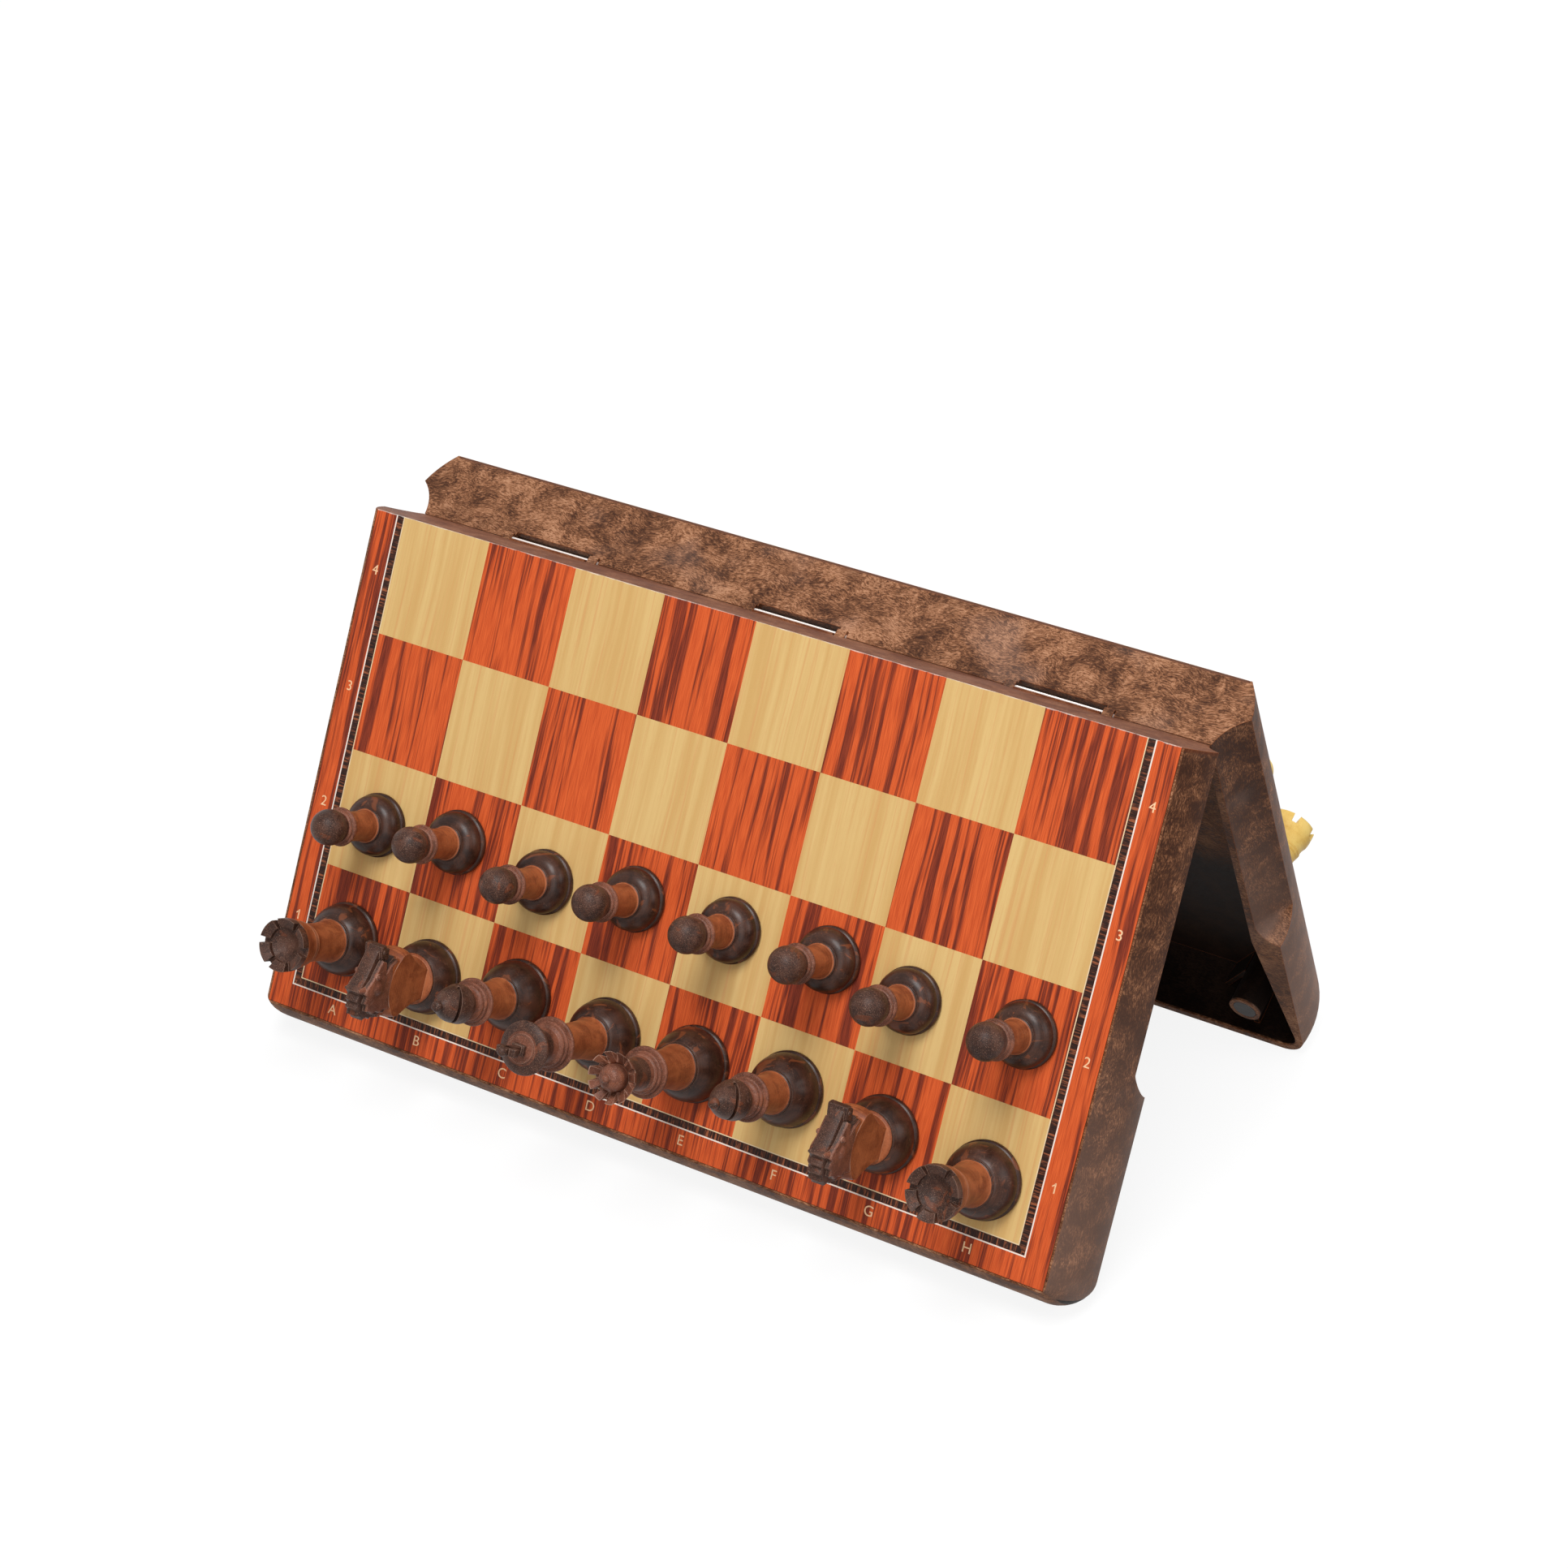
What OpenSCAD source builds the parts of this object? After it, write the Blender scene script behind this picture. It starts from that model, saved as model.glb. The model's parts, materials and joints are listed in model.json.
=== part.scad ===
// Folding magnetic chess case, standing open as a tent with its men on the two board faces.
// Each half is drawn flat in its own frame: x along the hinge, y away from the hinge,
// z from the parting rim up to the board face. The hinge axis is the line y = 0, z = 0.

/* [Board] */
// Width of one square, along the hinge
cell_w = 33.5; // [31:0.5:38]
// Height of one square, away from the hinge
cell_h = 39; // [37:0.5:44]
// Border printed round the squares
margin = 11; // [8:0.2:14]
// Thickness of the printed board sheet
sheet_t = 0.8; // [0.4:0.1:1.5]
// Thickness of the steel sheet under the board
steel_t = 0.5; // [0.3:0.1:1]
// How far the steel sheet stays inside the printed sheet
steel_inset = 3.2; // [2:0.2:8]
// Gap round each sheet in its recess
sheet_gap = 0.15; // [0.1:0.05:0.3]

/* [Case] */
// Depth of one half, from rim to board face
half_d = 25.4; // [22:0.2:32]
// Angle of each half from upright
lean = 26.25; // [15:0.25:40]
// Plain plastic edge round the printed sheet
lip = 0.8; // [0.6:0.1:3]
// Wall thickness
wall = 2.5; // [2:0.1:3.2]
// Thickness of the face plate under the steel sheet
plate_t = 2.1; // [1.2:0.1:3]
// Radius of the bulging outer walls, seen in section
bulge_r = 33; // [28:1:60]
// Height of the widest point of the outer walls above the rim
bulge_z = 6; // [2:0.5:10]
// Radius of the face's far corners, seen in plan
corner_r = 2.4; // [1.6:0.2:6]
// Gap between the two halves when they meet
part_gap = 0.3; // [0.1:0.1:0.6]

/* [Storage] */
// Straight length of the storage space's side walls at the far corners
store_end = 9; // [4:0.5:20]

/* [Finger scoops] */
// Radius of the channel cut along the rim of each end wall
scoop_r = 18.7; // [14:0.1:24]
// Height of the channel's axis below the rim
scoop_drop = 3; // [1:0.5:6]
// Depth of the channel at the rim
scoop_cut = 7.8; // [4:0.1:9]
// Length of the channel from the hinge end
scoop_len = 107; // [60:1:125]
// Radius of the rounded end of the channel
scoop_end_r = 8; // [4:0.5:12]

/* [Hinge] */
// Radius of the hinge pins
pin_r = 0.8; // [0.6:0.1:1.2]
// Spacing of the three hinge slots
slot_pitch = 93.2; // [60:0.2:100]
// Width of a hinge slot
slot_w = 30; // [16:0.2:40]
// Height of a hinge slot above the rim
slot_h = 3.2; // [3:0.1:4.5]
// Length of the lug that holds each end of a pin
lug_len = 3.4; // [2:0.1:6]
// Outer radius of the pin lugs
lug_r = 2; // [1.8:0.1:2.4]
// Outer radius of the claws that clip on the pin
claw_r = 2.4; // [2.1:0.1:2.5]
// Running clearance of a claw on its pin
claw_clearance = 0.05; // [0.02:0.01:0.09]
// Seating clearance of a pin in its lugs
lug_clearance = 0.02; // [0.01:0.01:0.04]
// Side gap between a claw, its slot and its lugs
side_gap = 0.3; // [0.2:0.1:0.6]

/* [Closure magnets] */
// Radius of a closure magnet
magnet_r = 4; // [3:0.5:5]
// Thickness of a closure magnet
magnet_t = 3; // [2:0.5:5]
// Wall of the boss round a closure magnet
boss_wall = 1.5; // [1:0.1:2.5]
// Distance of a closure magnet from the middle of the hinge
magnet_x = 132; // [100:1:134]
// Distance of a closure magnet from the hinge
magnet_y = 156; // [120:1:160]

/* [Chess men] */
// Base radius of the large men
base_r = 12.2; // [11:0.1:14]
// Base radius of a pawn
pawn_base_r = 10.5; // [9:0.1:12]
// Height of a rook
rook_h = 37; // [32:0.5:42]
// Height of a bishop up to the point of its mitre
bishop_h = 46.4; // [42:0.5:52]
// Height of a queen up to the rim of her coronet
queen_h = 51.5; // [47:0.5:56]
// Height of a king up to the edge of his crown
king_h = 50; // [44:0.5:54]
// Height of the king's cross
cross_h = 11; // [8:0.5:14]
// Height of a pawn
pawn_h = 34.2; // [30:0.2:38]
// Height of a knight to the tips of his ears
knight_h = 43.8; // [40:0.2:48]
// Thickness of a knight's head
knight_t = 8; // [6:0.5:10]
// Radius of the magnet in each base
base_magnet_r = 6; // [4:0.5:8]
// Thickness of the magnet in each base
base_magnet_t = 2; // [1:0.5:3]
// Seating clearance of a magnet in its base
magnet_seat = 0.05; // [0.02:0.01:0.1]
// How loosely the men stand on their squares: 0 is the middle of each square
scatter = 1; // [0:0.1:1]

/* [Hidden] */
$fn = 64;
e = 0.01;

DARK = "#4a3226";
CREAM = "#ecd98f";
CASE = "#6b4a38";

// Where each man stands off the middle of its square, along and away from the hinge,
// for the back row and the pawn row, from file a to file h
DARK_BACK = [
    [-2.5, 2], [-2.2, 4.4], [-1.4, 0.3], [-0.4, 2.6],
    [-1.4, 1.4], [-1.4, -1.2], [-0.8, 2], [1.5, 4.5]
];
DARK_PAWNS = [
    [-0.4, 1.6], [-2.7, -1.6], [-1.6, 1.4], [-1.6, -2.9],
    [0, -3.3], [1.6, -4.6], [-2.6, -0.7], [2.7, -2.4]
];
CREAM_BACK = [
    [1.2, 1.8], [-0.8, 2.4], [0.6, 1.2], [0.4, 2.6],
    [-1, 1.6], [1.4, 0.8], [-0.6, 2.2], [5.7, 1.4]
];
CREAM_PAWNS = [
    [0.6, -1.2], [-1, 0.8], [1.4, -0.6], [-0.4, 1],
    [0.8, -1.8], [-1.2, 0.4], [0.2, -0.8], [2.8, -1.2]
];

// Printed sheet, face and rim sizes
sheet_half_w = 4 * cell_w + margin;
sheet_len = 4 * cell_h + margin;
face_half_w = sheet_half_w + lip;
face_len = sheet_len + lip;
arc_in = sqrt(pow(bulge_r, 2) - pow(half_d - bulge_z, 2));
rim_z = part_gap / 2;
rim_in = sqrt(pow(bulge_r, 2) - pow(bulge_z - rim_z, 2));
rim_half_w = face_half_w - arc_in + rim_in;
rim_len = face_len - arc_in + rim_in;
ceiling_z = half_d - sheet_t - steel_t - plate_t;

// Finger scoop and the inner walls that stand clear of it
scoop_x = rim_half_w - scoop_cut + sqrt(pow(scoop_r, 2) - pow(scoop_drop, 2));
inner_half_w = rim_half_w - scoop_cut - wall;

// Height of the hinge axis above the ground
hinge_z = rim_len * cos(lean) - rim_z * sin(lean);

slot_places = [for (i = [-1, 0, 1]) i * slot_pitch];
pin_len = slot_w + 2 * lug_len;
boss_r = magnet_r + boss_wall;

// Turns what is drawn in a half's own frame into place: side 1 is the rear half, -1 the front
module on_half(side) {
    translate([0, 0, hinge_z])
        mirror([0, side < 0 ? 1 : 0, 0])
            rotate([lean - 90, 0, 0])
                children();
}

// ---- Case halves ----

// Section of an outer wall, from the axis of a far corner outwards
module wall_section(inset, z0, z1) {
    intersection() {
        translate([corner_r - arc_in, bulge_z]) circle(bulge_r - inset, $fn = 180);
        translate([0, z0]) square([2 * bulge_r, z1 - z0]);
    }
}

// Solid of a half, set in by an offset from its outer walls; the far corners are turned
module half_solid(inset, z0, z1) {
    w = face_half_w - corner_r;
    l = face_len - corner_r;
    start = part_gap / 2;
    translate([-w, 0, 0])
        rotate([90, 0, 90])
            linear_extrude(2 * w) {
                translate([start, z0]) square([l - start, z1 - z0]);
                translate([l, 0]) wall_section(inset, z0, z1);
            }
    for (s = [0, 1]) mirror([s, 0, 0]) {
        translate([w, l, 0])
            rotate([90, 0, 0])
                linear_extrude(l - start) wall_section(inset, z0, z1);
        translate([w, l, 0])
            rotate_extrude(angle = 90, $fn = 96) wall_section(inset, z0, z1);
    }
}

// Plan of the storage space: straight beside the finger scoops, then spreading to the corners
module store_plan() {
    spread = rim_half_w - wall;
    far = rim_len;
    polygon([
        [-inner_half_w, wall], [inner_half_w, wall],
        [inner_half_w, scoop_len + wall], [spread, far - store_end], [spread, far],
        [-spread, far], [-spread, far - store_end], [-inner_half_w, scoop_len + wall]
    ]);
}

// Channel cut along the rim of one end wall, with a rounded end
module scoop() {
    straight = scoop_len - scoop_end_r;
    turn_x = rim_half_w - scoop_cut + scoop_end_r;
    translate([scoop_x, straight, -scoop_drop])
        rotate([90, 0, 0])
            cylinder(r = scoop_r, h = straight + 1, $fn = 120);
    translate([turn_x, straight, 0])
        rotate_extrude($fn = 96)
            intersection() {
                translate([turn_x - scoop_x, -scoop_drop]) circle(scoop_r, $fn = 120);
                translate([0, -scoop_r]) square([scoop_r, 2 * scoop_r]);
            }
}

// Recess in the face for one flat sheet
module sheet_recess(half_w, from, to, z, t) {
    translate([-half_w - sheet_gap, from - sheet_gap, z])
        cube([2 * (half_w + sheet_gap), to - from + 2 * sheet_gap, t + 1]);
}

// Bored boss for a closure magnet, with the rib that ties it to the long wall
module magnet_boss(s) {
    rib_z = rim_z + magnet_t + 2;
    intersection() {
        union() {
            translate([s * magnet_x, magnet_y, rim_z])
                cylinder(r = boss_r, h = ceiling_z - rim_z + e);
            translate([s * magnet_x - 1, magnet_y, rib_z])
                cube([2, rim_len - magnet_y, ceiling_z - rib_z + e]);
            translate([s * (magnet_x - boss_r), magnet_y, ceiling_z - 8])
                rotate([0, 0, s > 0 ? 125 : 55])
                    translate([0, -0.8, 0]) cube([16, 1.6, 8 + e]);
        }
        half_solid(wall / 2, rim_z, half_d);
    }
}

// Shell common to both halves
module case_half() {
    difference() {
        union() {
            difference() {
                half_solid(0, rim_z, half_d);
                intersection() {
                    half_solid(wall, rim_z - 1, ceiling_z);
                    translate([0, 0, -2]) linear_extrude(half_d) store_plan();
                }
            }
            for (s = [-1, 1]) magnet_boss(s);
        }
        sheet_recess(sheet_half_w, -1, sheet_len, half_d - sheet_t, sheet_t);
        sheet_recess(sheet_half_w - steel_inset, steel_inset, sheet_len - steel_inset,
                     half_d - sheet_t - steel_t, steel_t);
        for (s = [0, 1]) mirror([s, 0, 0]) scoop();
        for (s = [-1, 1])
            translate([s * magnet_x, magnet_y, rim_z - 1])
                cylinder(r = magnet_r + sheet_gap, h = magnet_t + 1);
    }
}

// Rod along x, centred on a place on the hinge axis
module hinge_rod(x, r, len) {
    translate([x - len / 2, 0, 0]) rotate([0, 90, 0]) cylinder(r = r, h = len);
}

// The rear half holds the pins: a slot in the hinge wall, and a lug at each end of it
module rear_half() {
    lug_mid = slot_w / 2 + lug_len / 2;
    difference() {
        union() {
            case_half();
            for (x = slot_places, s = [-1, 1])
                difference() {
                    hinge_rod(x + s * lug_mid, lug_r, lug_len);
                    translate([x + s * lug_mid - lug_len, -2 * lug_r - pin_r - 0.4, -lug_r])
                        cube([2 * lug_len, 2 * lug_r, 2 * lug_r]);
                }
        }
        for (x = slot_places) {
            translate([x - slot_w / 2, -1, -1]) cube([slot_w, wall + 2, slot_h + 1]);
            hinge_rod(x, pin_r + lug_clearance, pin_len + 2 * e);
        }
    }
}

// The front half clips on the pins with one long claw in each slot, open towards the outside
module front_half() {
    claw_len = slot_w - 2 * side_gap;
    lug_room = lug_len + 2 * side_gap;
    difference() {
        union() {
            case_half();
            for (x = slot_places)
                difference() {
                    hinge_rod(x, claw_r, claw_len);
                    translate([x - claw_len, -2 * claw_r - pin_r / 2, -claw_r])
                        cube([2 * claw_len, 2 * claw_r, 2 * claw_r]);
                }
        }
        for (x = slot_places) {
            hinge_rod(x, pin_r + claw_clearance, slot_w);
            for (s = [-1, 1])
                hinge_rod(x + s * (slot_w / 2 + lug_len / 2), lug_r + side_gap, lug_room);
        }
    }
}

module shell(side) {
    color(CASE) on_half(side) if (side > 0) rear_half(); else front_half();
}

module steel_sheet(side) {
    color("silver")
        on_half(side)
            translate([steel_inset - sheet_half_w, steel_inset, half_d - sheet_t - steel_t])
                cube([2 * (sheet_half_w - steel_inset), sheet_len - 2 * steel_inset, steel_t]);
}

module board_sheet(side) {
    color("#d9783a")
        on_half(side)
            translate([-sheet_half_w, part_gap / 2, half_d - sheet_t])
                cube([2 * sheet_half_w, sheet_len - part_gap / 2, sheet_t]);
}

module closure_magnets(side) {
    color("dimgray")
        on_half(side)
            for (s = [-1, 1])
                translate([s * magnet_x, magnet_y, rim_z])
                    cylinder(r = magnet_r, h = magnet_t);
}

module hinge_pin(i) {
    color("gainsboro") on_half(1) hinge_rod(i * slot_pitch, pin_r, pin_len);
}

// ---- Turned outlines: half sections, drawn right of the axis ----

// Straight taper between two radii
module taper(z0, r0, z1, r1) {
    polygon([[0, z0], [r0, z0], [r1, z1], [0, z1]]);
}

// Half-round bead of outer radius r between two heights
module bead(z0, z1, r) {
    half = (z1 - z0) / 2;
    translate([0, z0]) square([r - half, z1 - z0]);
    translate([r - half, z0 + half]) circle(half, $fn = 32);
}

// Convex shoulder that starts upright at r0 and curves in to r1
module shoulder(z0, r0, z1, r1) {
    arc = (pow(r0 - r1, 2) + pow(z1 - z0, 2)) / (2 * (r0 - r1));
    intersection() {
        translate([r0 - arc, z0]) circle(arc, $fn = 128);
        translate([0, z0]) square([r0, z1 - z0]);
    }
    taper(z0, r1, z1, r1);
}

// Waisted stem between two radii, hollowed by an arc of the given depth
module stem(z0, r0, z1, r1, hollow) {
    chord = norm([z1 - z0, r1 - r0]);
    arc = (pow(chord / 2, 2) + pow(hollow, 2)) / (2 * hollow);
    lean_in = atan2(r1 - r0, z1 - z0);
    difference() {
        taper(z0, r0, z1, r1);
        translate([(r0 + r1) / 2 + (arc - hollow) * cos(lean_in),
                   (z0 + z1) / 2 - (arc - hollow) * sin(lean_in)])
            circle(arc, $fn = 180);
    }
}

// Ball on the axis
module ball(z, r) {
    intersection() {
        translate([0, z]) circle(r);
        translate([0, z - 2 * r]) square([2 * r, 4 * r]);
    }
}

// Foot ring, groove, domed foot and the thin ring where the stem rises
module foot(r, top, neck) {
    bead(0, 2.2, r);
    taper(1.8, r - 0.9, 2.8, r - 0.9);
    shoulder(2.8, r - 0.4, top, neck + 0.4);
    bead(top - 0.4, top + 0.6, neck + 0.6);
}

// Pocket in the underside for the base magnet, and the magnet that fills it
module with_base_magnet() {
    difference() {
        children();
        translate([0, 0, -1]) cylinder(r = base_magnet_r + magnet_seat, h = base_magnet_t + 1);
    }
    cylinder(r = base_magnet_r, h = base_magnet_t - magnet_seat);
}

// ---- Men, each standing on z = 0 ----

module pawn() {
    ball_r = 5.85;
    ball_z = pawn_h - ball_r;
    neck_z = ball_z - 7;
    with_base_magnet()
        rotate_extrude() {
            foot(pawn_base_r, 8, 5.2);
            stem(8, 5.3, neck_z, 5.2, 0.5);
            bead(neck_z - 0.2, neck_z + 1.6, 6.3);
            bead(neck_z + 1.6, neck_z + 2.8, 5.7);
            taper(neck_z, 4.8, ball_z, 4.8);
            ball(ball_z, ball_r);
        }
}

module rook() {
    crown_r = 8.6;
    crown_z = rook_h - 8;
    notch_w = 2.6;
    with_base_magnet()
        difference() {
            rotate_extrude() {
                foot(base_r, 10.6, 6.8);
                stem(10.6, 6.8, crown_z - 4, 6.4, 0.5);
                stem(crown_z - 4, 6.4, crown_z + 2, crown_r - 0.4, 0.6);
                taper(crown_z + 2, crown_r - 0.4, rook_h, crown_r);
            }
            translate([0, 0, rook_h - 4.6]) cylinder(r = crown_r - 2.4, h = 5);
            for (a = [0:60:120])
                rotate([0, 0, a])
                    translate([-crown_r - 1, -notch_w / 2, rook_h - 3.4])
                        cube([2 * crown_r + 2, notch_w, 4]);
        }
}

module bishop() {
    collar_z = bishop_h - 19.4;
    mitre_z = bishop_h - 8.6;
    mitre_r = 5.9;
    with_base_magnet()
        difference() {
            rotate_extrude() {
                foot(base_r - 0.2, 12.2, 6.4);
                stem(12.2, 6.5, collar_z, 5.6, 0.5);
                collar(collar_z, 7.6);
                stem(collar_z + 4, 5.4, mitre_z - 4.4, 4.6, 0.3);
                ball(mitre_z, mitre_r);
                shoulder(mitre_z + 2, mitre_r - 0.35, bishop_h, 1.1);
                ball(bishop_h + 1.1, 1.4);
            }
            // The slanting cut in the mitre
            translate([1.2, -mitre_r - 1, mitre_z + 0.4])
                rotate([0, -35, 0])
                    cube([10, 2 * mitre_r + 2, 1.3]);
        }
}

// Three stacked rings below a head
module collar(z, r) {
    bead(z - 0.4, z + 1.6, r);
    bead(z + 1.6, z + 2.8, r - 1.4);
    bead(z + 2.8, z + 4, r - 2);
}

module queen() {
    collar_z = queen_h - 20.4;
    cup_z = queen_h - 10;
    rim_r = 8.2;
    petals = 11;
    with_base_magnet() {
        difference() {
            rotate_extrude() {
                foot(base_r, 12.6, 6.9);
                stem(12.6, 7, collar_z, 6, 0.6);
                collar(collar_z, 8.1);
                stem(collar_z + 4, 5.8, cup_z, 5.2, 0.4);
                stem(cup_z, 5.2, queen_h, rim_r, 0.9);
            }
            translate([0, 0, queen_h - 3]) cylinder(r1 = 5, r2 = 6.2, h = 3 + e);
            for (i = [0:petals - 1])
                rotate([0, 0, i * 360 / petals])
                    translate([rim_r + 0.2, 0, queen_h - 3.6])
                        cylinder(r = 1.15, h = 5);
        }
        translate([0, 0, queen_h - 4]) rotate_extrude() queen_dome();
    }
}

module queen_dome() {
    taper(0, 3.6, 2.8, 3.6);
    ball(3.2, 3.7);
    ball(7.4, 1.2);
}

module king() {
    collar_z = king_h - 16;
    crown_r = 8.4;
    with_base_magnet() {
        rotate_extrude() {
            foot(base_r, 11.4, 6.5);
            stem(11.4, 6.6, collar_z, 5.8, 0.6);
            collar(collar_z, 8.6);
            stem(collar_z + 4, 5.8, king_h - 8.4, 5.2, 0.4);
            stem(king_h - 8.4, 5.2, king_h - 0.6, crown_r, 0.9);
            taper(king_h - 0.6, crown_r, king_h, crown_r - 0.2);
            shoulder(king_h, crown_r - 0.2, king_h + 2, 3.4);
            bead(king_h + 1, king_h + 2.4, 3.6);
        }
        translate([0, 0, king_h + 2.4 - e]) cross();
    }
}

// Cross on the crown, its arms along x
module cross() {
    stem_w = 2.2;
    arm_z = cross_h * 0.52;
    translate([-2, -1.4, 0]) cube([4, 2.8, 1.2]);
    translate([-stem_w / 2, -1.1, 0]) cube([stem_w, 2.2, cross_h - 1]);
    translate([-3.2, -1.1, arm_z]) cube([6.4, 2.2, 2.2]);
    translate([0, 0, cross_h - 1.3]) sphere(1.5, $fn = 32);
}

// Side view of a knight's head and neck in shares of his height, the muzzle towards negative y
module head_outline() {
    polygon(knight_h * [
        [-0.12, 0.42], [-0.2, 0.56], [-0.21, 0.648], [-0.16, 0.7], [-0.219, 0.72],
        [-0.283, 0.726], [-0.301, 0.767], [-0.295, 0.836], [-0.137, 0.886], [-0.011, 0.927],
        [0.037, 1], [0.1, 0.963], [0.169, 0.959], [0.237, 0.936], [0.251, 0.822],
        [0.224, 0.708], [0.225, 0.6], [0.15, 0.42]
    ]);
}

// A turned chest with two flat sides carries a head that is a thinner slab
module knight() {
    body_t = knight_t + 3;
    chest_z = knight_h / 2;
    chest_r = base_r - 0.9;
    with_base_magnet()
        difference() {
            union() {
                rotate_extrude() foot(base_r, 10.6, 7.6);
                intersection() {
                    rotate_extrude() {
                        taper(10, 7.6, chest_z, chest_r);
                        shoulder(chest_z, chest_r, knight_h * 0.66, 4);
                    }
                    translate([-body_t / 2, -base_r, 0]) cube([body_t, 2 * base_r, knight_h]);
                }
                translate([-knight_t / 2, 0, 0])
                    rotate([90, 0, 90])
                        linear_extrude(knight_t) head_outline();
            }
            // Step at the back of the neck
            translate([-body_t, chest_r - 2.6, chest_z - 0.6]) cube([2 * body_t, 5, 2.8]);
        }
}

module man(kind) {
    if (kind == "pawn") pawn();
    if (kind == "rook") rook();
    if (kind == "knight") knight();
    if (kind == "bishop") bishop();
    if (kind == "queen") queen();
    if (kind == "king") king();
}

// One man on its square. The file runs a = 0 to h = 7, the row counts out from the hinge
module stand(side, kind, file, row) {
    backs = side < 0 ? DARK_BACK : CREAM_BACK;
    pawns = side < 0 ? DARK_PAWNS : CREAM_PAWNS;
    shift = scatter * (row == 4 ? backs[file] : pawns[file]);
    color(side < 0 ? DARK : CREAM)
        on_half(side)
            translate([(file - 3.5) * cell_w + shift[0], (row - 0.5) * cell_h + shift[1], half_d])
                man(kind);
}

shell(-1);  // front_shell
steel_sheet(-1);  // front_steel_sheet
board_sheet(-1);  // front_board_sheet
closure_magnets(-1);  // front_closure_magnets
shell(1);  // rear_shell
steel_sheet(1);  // rear_steel_sheet
board_sheet(1);  // rear_board_sheet
closure_magnets(1);  // rear_closure_magnets
hinge_pin(-1);  // hinge_pin_left
hinge_pin(0);  // hinge_pin_middle
hinge_pin(1);  // hinge_pin_right
stand(-1, "rook", 0, 4);  // dark_rook_a1
stand(-1, "knight", 1, 4);  // dark_knight_b1
stand(-1, "bishop", 2, 4);  // dark_bishop_c1
stand(-1, "king", 3, 4);  // dark_king_d1
stand(-1, "queen", 4, 4);  // dark_queen_e1
stand(-1, "bishop", 5, 4);  // dark_bishop_f1
stand(-1, "knight", 6, 4);  // dark_knight_g1
stand(-1, "rook", 7, 4);  // dark_rook_h1
stand(-1, "pawn", 0, 3);  // dark_pawn_a2
stand(-1, "pawn", 1, 3);  // dark_pawn_b2
stand(-1, "pawn", 2, 3);  // dark_pawn_c2
stand(-1, "pawn", 3, 3);  // dark_pawn_d2
stand(-1, "pawn", 4, 3);  // dark_pawn_e2
stand(-1, "pawn", 5, 3);  // dark_pawn_f2
stand(-1, "pawn", 6, 3);  // dark_pawn_g2
stand(-1, "pawn", 7, 3);  // dark_pawn_h2
stand(1, "pawn", 0, 3);  // cream_pawn_a7
stand(1, "pawn", 1, 3);  // cream_pawn_b7
stand(1, "pawn", 2, 3);  // cream_pawn_c7
stand(1, "pawn", 3, 3);  // cream_pawn_d7
stand(1, "pawn", 4, 3);  // cream_pawn_e7
stand(1, "pawn", 5, 3);  // cream_pawn_f7
stand(1, "pawn", 6, 3);  // cream_pawn_g7
stand(1, "pawn", 7, 3);  // cream_pawn_h7
stand(1, "rook", 0, 4);  // cream_rook_a8
stand(1, "knight", 1, 4);  // cream_knight_b8
stand(1, "bishop", 2, 4);  // cream_bishop_c8
stand(1, "king", 3, 4);  // cream_king_d8
stand(1, "queen", 4, 4);  // cream_queen_e8
stand(1, "bishop", 5, 4);  // cream_bishop_f8
stand(1, "knight", 6, 4);  // cream_knight_g8
stand(1, "rook", 7, 4);  // cream_rook_h8
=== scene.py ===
"""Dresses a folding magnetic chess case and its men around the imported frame.

The case stands open as a tent. Each half has a flat frame of its own: x along the hinge,
u away from the hinge along the board face, and w from the parting rim out of the face.
"""

from __future__ import annotations

import json
import logging
import math
from dataclasses import dataclass, field
from enum import Enum
from typing import Any, Optional, Sequence, Union

import bmesh
import bpy
from mathutils import Matrix, Vector

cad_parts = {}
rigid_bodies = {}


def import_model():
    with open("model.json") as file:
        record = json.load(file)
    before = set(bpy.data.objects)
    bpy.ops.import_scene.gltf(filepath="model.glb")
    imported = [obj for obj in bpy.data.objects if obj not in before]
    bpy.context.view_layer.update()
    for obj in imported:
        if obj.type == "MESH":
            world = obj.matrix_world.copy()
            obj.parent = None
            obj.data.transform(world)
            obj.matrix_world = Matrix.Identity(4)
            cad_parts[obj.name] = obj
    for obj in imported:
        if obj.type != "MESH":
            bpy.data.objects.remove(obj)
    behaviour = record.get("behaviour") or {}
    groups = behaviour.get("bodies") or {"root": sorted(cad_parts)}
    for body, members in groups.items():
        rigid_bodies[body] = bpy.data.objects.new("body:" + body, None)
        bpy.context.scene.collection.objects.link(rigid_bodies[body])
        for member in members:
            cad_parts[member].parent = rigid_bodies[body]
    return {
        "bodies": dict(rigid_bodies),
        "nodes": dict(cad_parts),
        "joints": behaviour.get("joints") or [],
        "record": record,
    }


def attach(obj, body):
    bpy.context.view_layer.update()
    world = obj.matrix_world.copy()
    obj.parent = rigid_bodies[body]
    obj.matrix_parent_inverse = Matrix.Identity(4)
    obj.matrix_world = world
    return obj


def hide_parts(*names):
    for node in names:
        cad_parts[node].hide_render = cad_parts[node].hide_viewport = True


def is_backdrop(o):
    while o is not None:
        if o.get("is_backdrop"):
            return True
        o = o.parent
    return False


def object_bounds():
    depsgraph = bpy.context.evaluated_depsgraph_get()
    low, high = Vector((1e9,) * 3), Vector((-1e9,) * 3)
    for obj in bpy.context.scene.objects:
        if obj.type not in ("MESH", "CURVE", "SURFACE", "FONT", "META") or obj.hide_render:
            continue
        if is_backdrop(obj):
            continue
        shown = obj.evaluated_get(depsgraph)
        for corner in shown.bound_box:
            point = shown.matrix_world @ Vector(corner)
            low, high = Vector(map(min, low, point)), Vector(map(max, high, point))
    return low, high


LOG = logging.getLogger("chess_case")
MM = 0.001

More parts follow.
